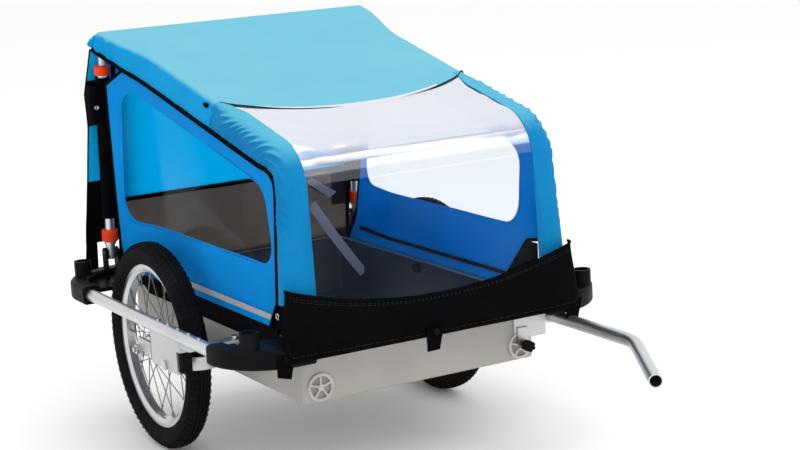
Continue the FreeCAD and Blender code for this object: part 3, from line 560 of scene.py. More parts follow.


# The paler tones of roof and sleeves on upward faces are a painted sheen.
roof_canvas = woven("roof canvas", (0.0, 0.35, 0.74), (0.0, 0.30, 0.66), 0.75,
                    painted_sheen=(0.19, 0.55, 0.66), glow=(0.02, 0.45, 0.75), glow_share=0.12)
sleeve_canvas = woven("sleeve canvas", (0.0, 0.22, 0.49), (0.0, 0.18, 0.43), 0.72,
                      painted_sheen=(0.09, 0.43, 0.57))
side_canvas = woven("side panel canvas", (0.0, 0.40, 0.84), (0.0, 0.345, 0.76), 0.8,
                    glow=(0.0, 0.50, 1.0), glow_share=0.44)
field_canvas = woven("flap field canvas", (0.0, 0.46, 0.92), (0.0, 0.40, 0.86), 0.75)
rear_canvas = woven("rear panel canvas", (0.0, 0.28, 0.62), (0.0, 0.24, 0.56), 0.7,
                    glow=(0.0, 0.70, 1.0), glow_share=0.85)
black_canvas = woven("black canvas", (0.003, 0.003, 0.004), (0.0015, 0.0015, 0.002), 0.9, gloss=0.03)
edge_tape = woven("black edge tape", (0.003, 0.003, 0.003), (0.0015, 0.0015, 0.0015), 0.85, gloss=0.03)
grey_webbing = woven("grey webbing", (0.84, 0.84, 0.88), (0.74, 0.74, 0.78), 0.7,
                     glow=(0.9, 0.9, 0.95), glow_share=0.45)
reflect_tape = woven("reflective tape", (0.42, 0.43, 0.45), (0.36, 0.37, 0.39), 0.4)
blue_thread = woven("blue thread", (0.0, 0.16, 0.40), (0.0, 0.13, 0.34), 0.6)
dark_thread = woven("dark thread", (0.03, 0.03, 0.034), (0.02, 0.02, 0.022), 0.6)
top_film = film("canopy film", 0.05, 0.88, (0.86, 0.88, 0.97), (0.16, 0.36))
front_clear = film("flap film", 0.005, 0.3, (0.90, 0.92, 0.97), (0.30, 0.70))
pane_film = film("window film", 0.0, 0.12, (0.90, 0.93, 0.97), (0.60, 0.90))
rear_net = netting("rear net", (0.02, 0.018, 0.017), 0.22)
tub_metal = tub_sheet()
tube_metal = metal("frame tube", (0.66, 0.67, 0.69), 0.34, (30, 1, 30))
plate_metal = metal("carrier plate", (0.57, 0.57, 0.57), 0.42, (30, 2, 2))
wheel_metal = metal("wheel alloy", (0.64, 0.65, 0.67), 0.30, (2, 2, 2))
steel = metal("bright steel", (0.62, 0.62, 0.64), 0.24, (2, 2, 2), 0.05)
spoke_steel = metal("spoke steel", (0.26, 0.25, 0.23), 0.3, (2, 2, 2), 0.05)
tyre_rubber = moulded("tyre rubber", (0.006, 0.006, 0.007), 0.82, 300.0)
block_rubber = moulded("block rubber", (0.006, 0.006, 0.006), 0.75)
black_plastic = moulded("black moulding", (0.004, 0.004, 0.005), 0.45)
grille_plastic = moulded("grille plastic", (0.42, 0.395, 0.37), 0.5)
gauze_cloth = woven("vent gauze", (0.33, 0.31, 0.29), (0.27, 0.255, 0.24), 0.8)
orange_plastic = moulded("orange collar", (0.78, 0.055, 0.012), 0.4)

# Finishes of the CAD's own pieces
FINISHES = (
    (tub_metal, "tub"), (grille_plastic, "vent_grilles"), (black_plastic, "clamp_knob"),
    (tube_metal, "front_cross_tube rear_cross_tube canopy_hoop front_crossbar drawbar"),
    (plate_metal, "corner_plates drawbar_bracket"), (steel, "chassis_bolts frame_pins"))
SIDE_FINISHES = (
    (tube_metal, "rail post rod"), (plate_metal, "fork hanger_plate strut"), (wheel_metal, "rim hub"),
    (spoke_steel, "spokes"), (steel, "axle fork_pins"), (tyre_rubber, "tyre"),
    (block_rubber, "rubber_block"), (black_plastic, "tub_block front_bumper rear_bumper"),
    (orange_plastic, "lower_collar upper_collar"))

for material, names in FINISHES:
    for name in names.split():
        paint(nodes[name], material)
for material, names in SIDE_FINISHES:
    for name in names.split():
        for side, sign in SIDES:
            paint(nodes[side + "_" + name], material)


# The canopy tube's line, which the covers follow

TOP_STEPS = 60
BEND_STEPS = 40
LEG_STEPS = 40


def hoop_run():
    """Points (y, z, outward y, outward z, half width, length so far) from the rear end to the base."""
    rear, bend, base = Vector(HOOP_REAR), Vector(HOOP_BEND), Vector(HOOP_BASE)
    back = (rear - bend).normalized()
    down = (base - bend).normalized()
    half_turn = back.angle(down) / 2
    setback = HOOP_BEND_RADIUS / math.tan(half_turn)
    centre = bend + (back + down).normalized() * (HOOP_BEND_RADIUS / math.sin(half_turn))
    first = bend + back * setback
    last = bend + down * setback
    spots = [rear.lerp(first, i / TOP_STEPS) for i in range(TOP_STEPS)]
    start = math.atan2((first - centre).y, (first - centre).x)
    end = math.atan2((last - centre).y, (last - centre).x)
    if end < start:
        end += 2 * math.pi
    for i in range(BEND_STEPS):
        turn = mix(start, end, i / BEND_STEPS)
        spots.append(centre + Vector((math.cos(turn), math.sin(turn))) * HOOP_BEND_RADIUS)
    spots += along(LEG_STEPS, lambda share: last.lerp(base, share))
    run = []
    length = 0.0
    for i, spot in enumerate(spots):
        if i:
            length += (spot - spots[i - 1]).length
        ahead = (spots[min(i + 1, len(spots) - 1)] - spots[max(i - 1, 0)]).normalized()
        normal = Vector((ahead.y, -ahead.x))
        rise = (spot.x - HOOP_BEND[0]) / (HOOP_REAR[0] - HOOP_BEND[0])
        if i < TOP_STEPS + BEND_STEPS // 2:
            half = mix(HOOP_HALF_BEND, HOOP_HALF_REAR, max(0.0, rise))
        else:
            fall = (HOOP_BEND[1] - spot.y) / (HOOP_BEND[1] - HOOP_BASE[1])
            half = mix(HOOP_HALF_BEND, HOOP_HALF_BASE, fall)
        run.append((spot.x, spot.y, normal.x, normal.y, half, length))
    return run


RUN = hoop_run()
RUN_LENGTH = RUN[-1][5]


def on_hoop(length):
    """Interpolated place on the tube's line; lengths below 0 run on past the rear end."""
    if length <= 0:
        y, z, ny, nz, half, _ = RUN[0]
        return y + nz * -length, z - ny * -length, ny, nz, half
    for before, after in zip(RUN, RUN[1:]):
        if after[5] >= length:
            share = (length - before[5]) / (after[5] - before[5])
            return tuple(mix(a, b, share) for a, b in zip(before[:5], after[:5]))
    return RUN[-1][:5]


def length_at_y(y):
    """Length along the tube's sloping top where it passes a given y."""
    for before, after in zip(RUN, RUN[1:]):
        if after[0] <= y:
            return mix(before[5], after[5], (before[0] - y) / (before[0] - after[0]))
    return RUN_LENGTH


def length_at_z(z):
    """Length along the tube's front leg where it passes a given height."""
    leg = RUN[TOP_STEPS + BEND_STEPS // 4:]
    for before, after in zip(leg, leg[1:]):
        if after[1] <= z:
            return mix(before[5], after[5], (before[1] - z) / (before[1] - after[1]))
    return RUN_LENGTH


SEAM_LENGTH = length_at_y(SEAM_Y)
FLAP_LENGTH = length_at_z(FLAP_Z)


def panel_half(y, z):
    """Half width of the body at the side panels, which flare out to the posts at the rear."""
    flare = PANEL_FLARE * smooth(*PANEL_FLARE_Y, y) * smooth(*PANEL_FLARE_Z, z)
    return PANEL_FOOT_X + (z - PANEL_FOOT_Z) * PANEL_LEAN + flare


# Roof canvas: one sheet over both side tubes and the rear bar, with a skirt round three sides

ROOF_LIFT = 12.5
ROOF_SAG = 12.0
ROOF_FLARE = 30.0
ROOF_FLARE_RUN = (210.0, 15.0)
ROOF_FLARE_POWER = 6
ROOF_SAG_RUN = (-20.0, 170.0)
ROOF_FINE_WAVE = (110.0, 1.4)
ROOF_BROAD_WAVE = (260.0, 3.0)
ROOF_CALM_RUN = 70.0
HEM_REAR_RUN = 150.0
HEM_LEG_RUN = (185.0, 315.0)
HEM_OUT_RUN = 60.0
HEM_WAVE = 34.0
HEM_RIPPLE = 1.5
SKIRT_PUFF = 2.0
ROOF_TOP_SHARE = 0.62
ROOF_BACK_SHARE = 0.2
SKIRT_ARC = ROOF_LIFT * math.pi / 2
PANEL_ROOM = 5.0
CORNER_FOLD = 11.0
CORNER_RUN = 150.0
FOLD_TURN = 2.6
FOLD_PITCH = 13.0
FOLD_SLANT = 1.6
FOLD_SHARP = 0.7
FOLD_LEVEL = 0.65
ROW_HALF = 40


def roof_flare(length):
    """How far the canvas stands out over the posts near the rear."""
    return ROOF_FLARE * smooth(*ROOF_FLARE_RUN, length)


def hem_drop(length):
    """How far the hem lies inside the tube's line: less at the rear and on the front legs."""
    drop = mix(HEM_DROP_REAR, HEM_DROP, smooth(0.0, HEM_REAR_RUN, length))
    return mix(drop, HEM_DROP_LEG, smooth(*HEM_LEG_RUN, length - SEAM_LENGTH))


def hem_half(length):
    """Half width at the hem of roof and sleeves."""
    y, z, ny, nz, half = on_hoop(max(length, 0.0))
    out = mix(ROOF_LIFT, HEM_OUT, smooth(0.0, HEM_OUT_RUN, length - SEAM_LENGTH))
    drop = hem_drop(length)
    clear = panel_half(y - ny * drop, z - nz * drop) + PANEL_ROOM
    return max(half + roof_flare(length) + out, clear)


def skirt(share, drop, drift):
    """Outward and upward place on the skirt, at a share of its run from the roof's edge to the hem."""
    run = share * (SKIRT_ARC + drop)
    if run < SKIRT_ARC:
        return ROOF_LIFT * math.sin(run / ROOF_LIFT), ROOF_LIFT * math.cos(run / ROOF_LIFT)
    low = (run - SKIRT_ARC) / drop
    return ROOF_LIFT + drift * low + SKIRT_PUFF * math.sin(math.pi * low), -drop * low


def roof_spot(sign, across, length, side_low, rear_low):
    """Place on the roof.

    across runs from 0 to 1, length from the rear bar, and the shares run down the side and rear skirts.
    """
    y, z, ny, nz, half = on_hoop(length)
    edge_x = half * across + roof_flare(length) * across ** ROOF_FLARE_POWER
    low = max(side_low, rear_low)
    back = 0.0
    if low <= 0:
        sag = ROOF_SAG * smooth(*ROOF_SAG_RUN, length) * (1 - across * across)
        wave = ripple(edge_x * sign, y, 0.0, *ROOF_FINE_WAVE)
        wave += ripple(edge_x * sign, y, 5.0, *ROOF_BROAD_WAVE)
        up = ROOF_LIFT - sag + wave * smooth(1.0, 0.75, across) * smooth(0.0, ROOF_CALM_RUN, length)
    else:
        turn = math.atan2(rear_low, side_low)
        drift = (hem_half(length) - half - roof_flare(length) - ROOF_LIFT) * math.cos(turn) ** 2
        out, up = skirt(low, hem_drop(length), drift)
        corner = smooth(CORNER_RUN, 0.0, length) * math.cos(turn) + math.sin(2 * turn)
        phase = FOLD_TURN * turn + length / FOLD_PITCH - low * FOLD_SLANT
        fold = FOLD_LEVEL - abs(math.sin(phase)) ** FOLD_SHARP
        out += corner * CORNER_FOLD * smooth(0.1, 0.6, low) * smooth(1.0, 0.8, low) * fold
        out += low * HEM_RIPPLE * ripple(length, sign * 30.0, edge_x / 3.0, HEM_WAVE)
        edge_x += out * math.cos(turn)
        back = out * math.sin(turn)
    return at(sign * edge_x, y + ny * up + nz * back, z + nz * up - ny * back)


def seam_length(across):
    """Length at which the roof's bowed front seam lies."""
    return SEAM_LENGTH + SEAM_BOW * max(0.0, 1 - across * across) ** SEAM_BOW_POWER


def roof_place(u, v):
    sign = 1 if u >= 0.5 else -1
    across = abs(u - 0.5) * 2 / ROOF_TOP_SHARE
    side_low = max(0.0, across - 1) * ROOF_TOP_SHARE / (1 - ROOF_TOP_SHARE)
    across = min(1.0, across)
    if v < ROOF_BACK_SHARE:
        return roof_spot(sign, across, 0.0, side_low, 1 - v / ROOF_BACK_SHARE)
    share = (v - ROOF_BACK_SHARE) / (1 - ROOF_BACK_SHARE)
    return roof_spot(sign, across, share * seam_length(across), side_low, 0.0)


def roof_row(length_at, rear_low=0.0):
    """Points from side to side of the roof, at the lengths length_at(share)."""
    row = []
    for i in range(2 * ROW_HALF + 1):
        share = i / ROW_HALF - 1
        row.append(roof_spot(1 if share >= 0 else -1, abs(share), length_at(share), 0.0, rear_low))
    return row


roof_cloth = cloth("roof_cloth", 130, 120, roof_place, CANVAS_THICK)
dress(roof_cloth, roof_canvas, "canopy")
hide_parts("roof")


# Sleeves gathered along the hoop from the roof seam, over the bend and down the front legs

SLEEVE_START = SEAM_LENGTH - 6.0
SLEEVE_END = length_at_z(LEG_LOW_Z)
SLEEVE_SWELL = 70.0
SLEEVE_WIDE = (15.0, 27.0)
SLEEVE_HIGH = (15.0, 19.0)
SLEEVE_MIDDLE = (-1.0, -5.0)
SLEEVE_INSET = 2.0
SLEEVE_TUCK = 12.0
SLEEVE_WAVE = 60.0
BORDER_DIP = 2.0
BORDER_SHARE = 0.3
BULGE_SHARE = 0.72
PLEAT_PITCH = 25.0
PLEAT_RISE = 6.5
PLEAT_SLANT = 4.5
PLEAT_SHARP = 0.7
PLEAT_LEVEL = 0.35
PLEAT_WANDER = (70.0, 0.9)
PLEAT_UNEVEN = (31.0, 0.5)
GATHER_START = (6.0, 45.0)
GATHER_END = (480.0, 330.0)


def sleeve_spot(sign, length, v):
    """Place on a sleeve: v runs from the film's edge over the tube and down to the hem."""
    y, z, ny, nz, half = on_hoop(length)
    ahead = length - SEAM_LENGTH
    full = smooth(0.0, SLEEVE_SWELL, ahead)
    wide = mix(*SLEEVE_WIDE, full)
    high = mix(*SLEEVE_HIGH, full)
    middle = mix(*SLEEVE_MIDDLE, full)
    crown = half - SLEEVE_INSET
    if v < BORDER_SHARE:
        share = v / BORDER_SHARE
        x = mix(FILM_EDGE + SLEEVE_TUCK * (1 - full), crown, share)
        up = middle + high - BORDER_DIP * (1 - share)
    elif v < BULGE_SHARE:
        turn = (v - BORDER_SHARE) / (BULGE_SHARE - BORDER_SHARE) * math.pi / 2
        x = crown + wide * math.sin(turn)
        up = middle + high * math.cos(turn)
    else:
        share = (v - BULGE_SHARE) / (1 - BULGE_SHARE)
        x = mix(crown + wide, hem_half(length), share)
        up = mix(middle, -hem_drop(length), share)
    gather = smooth(*GATHER_START, ahead) * smooth(*GATHER_END, ahead)
    phase = length / PLEAT_PITCH + PLEAT_SLANT * v + ripple(length, sign * 40.0, 3.0, *PLEAT_WANDER)
    pleat = 1 - abs(math.sin(math.pi * phase)) ** PLEAT_SHARP
    pleat *= 0.75 + ripple(length, 9.0, sign * 5.0, *PLEAT_UNEVEN)
    rise = gather * (pleat - PLEAT_LEVEL) * PLEAT_RISE * smooth(0.32, 0.56, v) * smooth(1.0, 0.86, v)
    rise += ripple(length, v * 70.0, sign * 9.0, SLEEVE_WAVE) * smooth(0.2, 0.4, v) * smooth(1.0, 0.85, v)
    lean = smooth(BORDER_SHARE, BULGE_SHARE, v)
    up += rise * (1 - lean)
    return at(sign * (x + rise * lean), y + ny * up, z + nz * up)


def sleeve_maker(sign):
    def place(u, v):
        return sleeve_spot(sign, mix(SLEEVE_START, SLEEVE_END, u), v)
    return place


for side, sign in SIDES:
    sleeve = cloth(side + "_sleeve", 250, 40, sleeve_maker(sign), CANVAS_THICK)
    dress(sleeve, sleeve_canvas, "canopy")
    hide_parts("hoop_sleeves")


# Black piping along the whole hem: up one front leg, round the rear and down the other leg

PIPING_STEPS = 150
PIPING_OUT = 1.0
CORNER_STEPS = 10
REAR_STEPS = 30


def hem_spot(sign, length):
    y, z, ny, nz, _ = on_hoop(length)
    drop = hem_drop(length)
    return at(sign * (hem_half(length) + PIPING_OUT), y - ny * drop, z - nz * drop)


def half_hem(sign):
    """Hem from a front leg's low end to the middle of the rear."""
    line = [hem_spot(sign, mix(SLEEVE_END, 0.0, i / PIPING_STEPS)) for i in range(PIPING_STEPS)]
    for i in range(CORNER_STEPS + 1):
        turn = math.pi / 2 * i / CORNER_STEPS
        most = max(math.cos(turn), math.sin(turn))
        line.append(roof_spot(sign, 1.0, 0.0, math.cos(turn) / most, math.sin(turn) / most))
    line += [roof_spot(sign, 1 - i / REAR_STEPS, 0.0, 0.0, 1.0) for i in range(1, REAR_STEPS)]
    return line


hem_line = half_hem(-1) + half_hem(1)[::-1]
piping = cordline("hem_piping", [hem_line], PIPING_RADIUS)
dress(piping, edge_tape, "canopy")


# Clear film over the bend, and the film of the front flap

FILM_LIFT = 11.0
SEAM_RISE = 2.0
SEAM_RADIUS = 1.2
UPPER_TUCK = 9.0
FILM_OVERLAP = 14.0
FILM_BOW_SHARE = 0.9
FILM_SAG = 9.0
FILM_SAG_RUN = 230.0
FILM_WAVE = 130.0
PULL_RISE = 1.6
PULL_PITCH = 4.5
PULL_ACROSS = 60.0
PULL_ALONG = 90.0
PULL_WANDER = (60.0, 2.0)


def upper_film_place(u, v):
    across = u * 2 - 1
    length = mix(seam_length(across * FILM_BOW_SHARE) - FILM_OVERLAP, FLAP_LENGTH, v)
    y, z, ny, nz, _ = on_hoop(length)
    x = across * (FILM_EDGE + UPPER_TUCK)
    sag = FILM_SAG * (1 - across * across) * smooth(FILM_SAG_RUN, 0.0, length - SEAM_LENGTH)
    corner = smooth(0.55, 1.0, abs(across)) * smooth(0.15, 0.45, v) * smooth(0.95, 0.7, v)
    phase = (abs(across) * PULL_ACROSS + v * PULL_ALONG) / PULL_PITCH
    pull = math.sin(phase + ripple(x, y, 1.0, *PULL_WANDER)) * PULL_RISE * corner
    lift = FILM_LIFT - sag + ripple(x, y, z, FILM_WAVE) + pull * smooth(1.0, 0.9, abs(across))
    return at(x, y + ny * lift, z + nz * lift)


upper_film = cloth("upper_film_sheet", 70, 70, upper_film_place, FILM_THICK)
dress(upper_film, top_film, "canopy")
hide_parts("upper_film")

seam_line = [spot + UP * SEAM_RISE * MM for spot in roof_row(seam_length)]
roof_seam = cordline("roof_seam_welt", [seam_line], SEAM_RADIUS)
dress(roof_seam, dark_thread, "canopy")

APRON_Y = -538.0
APRON_HALF = 299.0
APRON_TOP = 393.0
APRON_DIP = 48.0
APRON_BOTTOM = 273.0
APRON_WING_Y = -522.0
APRON_CORNER = 12.0
APRON_NARROW = 0.962
APRON_WING_LOW = 300.0
APRON_WING_X = (290.0, 298.0)
APRON_CALM_X = (290.0, 262.0)
APRON_FINE_WAVE = (60.0, 2.0)
APRON_BROAD_WAVE = (170.0, 2.5)
APRON_SLACK = 1.6
APRON_SLACK_PITCH = 17.0
APRON_SLACK_WANDER = (90.0, 2.0)
APRON_INWARD = -1.5
APRON_STEPS = 140
FRONT_GAP = 1.0
FRONT_WIDEN = 9.0
FRONT_OVERLAP = 14.0
FRONT_BEHIND = 3.0
FRONT_PUFF = 2.0
FRONT_WAVE = (140.0, 1.5)


def apron_top(x):
    return APRON_TOP - APRON_DIP * max(0.0, 1 - (x / APRON_HALF) ** 2)


flap_y, _, flap_ny, _, _ = on_hoop(FLAP_LENGTH)
front_top_y = flap_y + flap_ny * FILM_LIFT


def front_film_place(u, v):
    across = u * 2 - 1
    x = across * (FILM_EDGE - FRONT_GAP + FRONT_WIDEN * v)
    z = mix(FLAP_Z - FRONT_GAP, apron_top(x) - FRONT_OVERLAP, v)
    slack = math.sin(math.pi * v)
    y = mix(front_top_y, APRON_Y + FRONT_BEHIND, v) + FRONT_PUFF * slack * (1 - across * across)
    return at(x, y + ripple(x, 0.0, z, *FRONT_WAVE) * slack, z)


front_film = cloth("front_film_sheet", 60, 40, front_film_place, FILM_THICK)
dress(front_film, front_clear, "front_flap")
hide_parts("front_film")


# Black apron round the front corners, with its binding and three fastening tails

def apron_line(share):
    """Plan of the apron from one wing's end round the front to the other: x, y."""
    wing = APRON_WING_Y - APRON_Y - APRON_CORNER
    arc = APRON_CORNER * math.pi / 2
    flat = 2 * (APRON_HALF - APRON_CORNER)
    total = 2 * (wing + arc) + flat
    run = share * total
    if run > total / 2:
        x, y = apron_line(1 - share)
        return -x, y
    if run < wing:
        return -APRON_HALF, APRON_WING_Y - run
    if run < wing + arc:
        turn = (run - wing) / APRON_CORNER
        x = -APRON_HALF + APRON_CORNER * (1 - math.cos(turn))
        return x, APRON_Y + APRON_CORNER * (1 - math.sin(turn))
    return -APRON_HALF + APRON_CORNER + (run - wing - arc), APRON_Y


def apron_place(u, v):
    x, y = apron_line(u)
    bottom = mix(APRON_BOTTOM, APRON_WING_LOW, smooth(*APRON_WING_X, abs(x)))
    z = mix(apron_top(x), bottom, v)
    sink = ripple(x, 0.0, z, *APRON_FINE_WAVE) + ripple(x, 4.0, z, *APRON_BROAD_WAVE)
    phase = x / APRON_SLACK_PITCH + ripple(x, 8.0, 0.0, *APRON_SLACK_WANDER)
    sink += APRON_SLACK * math.sin(phase) * smooth(0.45, 0.95, v)
    sink *= smooth(0.0, 0.2, v) * (0.3 + 0.7 * smooth(1.0, 0.85, v))
    narrow = mix(APRON_NARROW, 1.0, smooth(0.0, 1.0, v))
    return at(x * narrow, y - max(APRON_INWARD, sink) * smooth(*APRON_CALM_X, abs(x)), z)


def apron_row(v):
    """Points along the apron at a share of its height."""
    return along(APRON_STEPS, lambda share: apron_place(share, v))


apron = cloth("apron_cloth", 160, 32, apron_place, HEAVY_THICK)
dress(apron, black_canvas, "front_flap")
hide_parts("apron")

apron_binding = cordline("apron_binding", [apron_row(0.0), apron_row(1.0)], TAPE_RADIUS)
dress(apron_binding, edge_tape, "front_flap")

TAIL_SPOTS = (("right", -296.0, -527.0, -0.75), ("middle", -12.0, -541.0, 0.0),
              ("left", 290.0, -531.0, 0.75))
TAIL_LONG = 40.0
TAIL_HALF = 17.0
TAIL_TAPER = 0.22
TAIL_SKEW = 0.12
TAIL_CURL = 3.0
TAIL_WAVE = 1.2
TAIL_LEAN = 7.0
TAIL_OVERLAP = 14.0
TAIL_FRONT = 1.0
TAIL_SNAP_RADIUS = 5.5
TAIL_SNAP_FRONT = 5.0
TAIL_SNAP_UP = 7.0
# A stud's parts, as shares of its radius
STUD_DEPTH = 0.7
STUD_RIM = 0.3
STUD_STEP = 0.15
STUD_DISH = 0.18
STUD_ROUND = 0.14


def tail_maker(x, y, aside):
    def place(u, v):
        across = (u - 0.5) * 2
        taper = 1 - TAIL_TAPER * v
        drop = TAIL_LONG * v * (1 - TAIL_SKEW * across * aside)
        curl = TAIL_CURL * v * v + TAIL_WAVE * math.sin(3 * v + across)
        return at(x + across * TAIL_HALF * taper - TAIL_LEAN * v, y - TAIL_FRONT - curl,
                  APRON_BOTTOM + TAIL_OVERLAP - drop)
    return place


def press_stud(name, spot, radius, material, body):
    """Round snap fastener with a dished cap, facing forward."""
    stud = disc(name, 28, radius, radius * STUD_DEPTH)
    pick_faces(stud, upper_face)
    bpy.ops.mesh.inset(thickness=radius * STUD_RIM * MM)
    dish(radius * STUD_STEP, radius * STUD_DISH)
    round_edges(stud, radius * STUD_ROUND, 2)
    smooth_faces(stud)
    settle(stud, spot, FORWARD)
    dress(stud, material, body)


for name, x, y, aside in TAIL_SPOTS:
    tail = cloth("apron_tail_" + name, 10, 12, tail_maker(x, y, aside), HEAVY_THICK)
    dress(tail, black_canvas, "front_flap")
    press_stud("apron_snap_" + name, at(x, y - TAIL_SNAP_FRONT, APRON_BOTTOM + TAIL_SNAP_UP),
               TAIL_SNAP_RADIUS, black_plastic, "front_flap")


# Side panels: canvas round a clear window

WINDOW_CORNERS = ((-418.0, 412.0), (204.0, 412.0), (142.0, 682.0), (-418.0, 552.0))
WINDOW_ROUNDS = (46.0, 40.0, 46.0, 40.0)
WINDOW_MIDDLE = Vector((-110.0, 500.0))
PANEL_TUCK = 6.0
PANEL_REAR = [Vector((240.0, 288.0)), Vector((242.0, 350.0)), Vector((198.0, 684.0)),
              Vector((116.0, 722.0))]
PANEL_FRONT = [Vector((-446.0, 388.0)), Vector((-408.0, 344.0)), Vector((-362.0, 288.0))]
PANEL_COUNT = 240
PANEL_RINGS = 12
EYELETS = ((-400.0, 320.0), (-374.0, 286.0))
PANEL_TOP_STEPS = 80
PANEL_REAR_IN = 12.0
PANEL_FRONT_UP = 8.0


def panel_point(sign, y, z, out=0.0):
    return at(sign * (panel_half(y, z) + out), y, z)


def rounded_outline(corners, radii, steps=8):
    """Closed outline in (y, z) with each corner rounded."""
    made = []
    count = len(corners)
    for i, corner in enumerate(corners):
        here = Vector(corner)
        back = (Vector(corners[i - 1]) - here).normalized()
        ahead = (Vector(corners[(i + 1) % count]) - here).normalized()
        half = back.angle(ahead) / 2
        setback = radii[i] / math.tan(half)
        centre = here + (back + ahead).normalized() * (radii[i] / math.sin(half))
        first = here + back * setback - centre
        last = here + ahead * setback - centre
        for k in range(steps + 1):
            made.append(centre + first.slerp(last, k / steps).normalized() * radii[i])
    return made


def resample(outline, count):
    """Evenly spaced points along a closed outline."""
    points = list(outline) + [outline[0]]
    lengths = [0.0]
    for a, b in zip(points, points[1:]):
        lengths.append(lengths[-1] + (b - a).length)
    made = []
    index = 0
    for i in range(count):
        want = lengths[-1] * i / count
        while lengths[index + 1] < want:
            index += 1
        gap = lengths[index + 1] - lengths[index]
        made.append(points[index].lerp(points[index + 1], (want - lengths[index]) / gap if gap else 0.0))
    return made


def under_hem(rear_y, low_z):
    """Line in (y, z) tucked just behind the hem, from a rear point to a low one on the front leg."""
    start, end = length_at_y(rear_y), length_at_z(low_z)
    line = []
    for i in range(PANEL_TOP_STEPS + 1):
        length = mix(start, end, i / PANEL_TOP_STEPS)
        y, z, ny, nz, _ = on_hoop(length)
        drop = hem_drop(length) - PANEL_TUCK
        line.append(Vector((y - ny * drop, z - nz * drop)))
    return line


panel_top = under_hem(PANEL_REAR[3].x - PANEL_REAR_IN, PANEL_FRONT[0].y + PANEL_FRONT_UP)
window_outline = rounded_outline(WINDOW_CORNERS, WINDOW_ROUNDS)


def toward(outline, middle, spot):
    """Where the ray from middle through spot crosses an outline."""
    aim = spot - middle
    best = None
    for a, b in zip(outline, outline[1:] + outline[:1]):
        edge = b - a
        cross = aim.x * edge.y - aim.y * edge.x
        if abs(cross) < 1e-9:
            continue
        t = ((a.x - middle.x) * edge.y - (a.y - middle.y) * edge.x) / cross
        s = ((a.x - middle.x) * aim.y - (a.y - middle.y) * aim.x) / cross
        if t > 0 and -1e-6 <= s <= 1 + 1e-6 and (best is None or t < best):
            best = t
    return middle + aim * best


outer_ring = resample(PANEL_REAR + panel_top + PANEL_FRONT, PANEL_COUNT)
inner_ring = [toward(window_outline, WINDOW_MIDDLE, spot) for spot in outer_ring]
BLEND_LOW = at(0, -430.0, 300.0)
BLEND_TOP = at(0, 205.0, 738.0)


def blend_panel(piece):
    """Bake the piece's transform into its mesh."""
    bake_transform(piece)


PANEL_PUFF = 2.0
PANEL_WAVE = (120.0, 2.2)
PANE_RINGS = 8
PANE_GROW = 1.02
PANE_OUT = 0.2
PANE_PUFF = 3.0
EDGE_OUT = 1.0
WINDOW_SEAMS = (1.03, 1.045)
WINDOW_SEAM_OUT = 1.4
# Rows of the strips along a side panel: rear y, front y, height and how far out
STRIP_STEPS = 60
STRIPE_ROWS = ((226.0, -388.0, 322.0, 4.6), (228.0, -379.0, 311.0, 4.6))
INNER_TAPE_ROWS = ((205.0, -384.0, 320.0, -3.4), (205.0, -379.0, 313.0, -3.4))
SKIRT_ROWS = ((234.0, -400.0, 296.0, 2.0), (184.0, -386.0, 258.0, 1.5))
GUSSET_X = 246.0
GUSSET_Y = -486.0
GUSSET_IN = 2.5
GUSSET_STEPS = 8
EYELET_RING = 5.2
EYELET_ROUND = 1.7
EYELET_FLAT = 0.7
EYELET_OUT = 0.6


def panel_ring(sign, share):
    """Ring of the canvas, from its outline to the window, a little puffed out between them."""
    ring = []
    for a, b in zip(outer_ring, inner_ring):
        spot = a.lerp(b, share)
        puff = math.sin(math.pi * share) * PANEL_PUFF
        puff += ripple(spot.x, spot.y, sign * 30.0, *PANEL_WAVE) * smooth(0.0, 0.3, share)
        ring.append(panel_point(sign, spot.x, spot.y, puff))
    return ring


def window_ring(sign, share, out):
    """The window's outline, shrunk or grown about its middle."""
    return [panel_point(sign, *WINDOW_MIDDLE.lerp(spot, share), out) for spot in inner_ring]


def panel_strip(sign, name, rows, thick):
    """Flat strip between two rows along a side panel."""
    lines = []
    for rear_y, front_y, z, out in rows:
        lines.append(along(STRIP_STEPS, lambda share: panel_point(sign, mix(rear_y, front_y, share), z, out)))
    return band(name, lines[0], lines[1], thick)


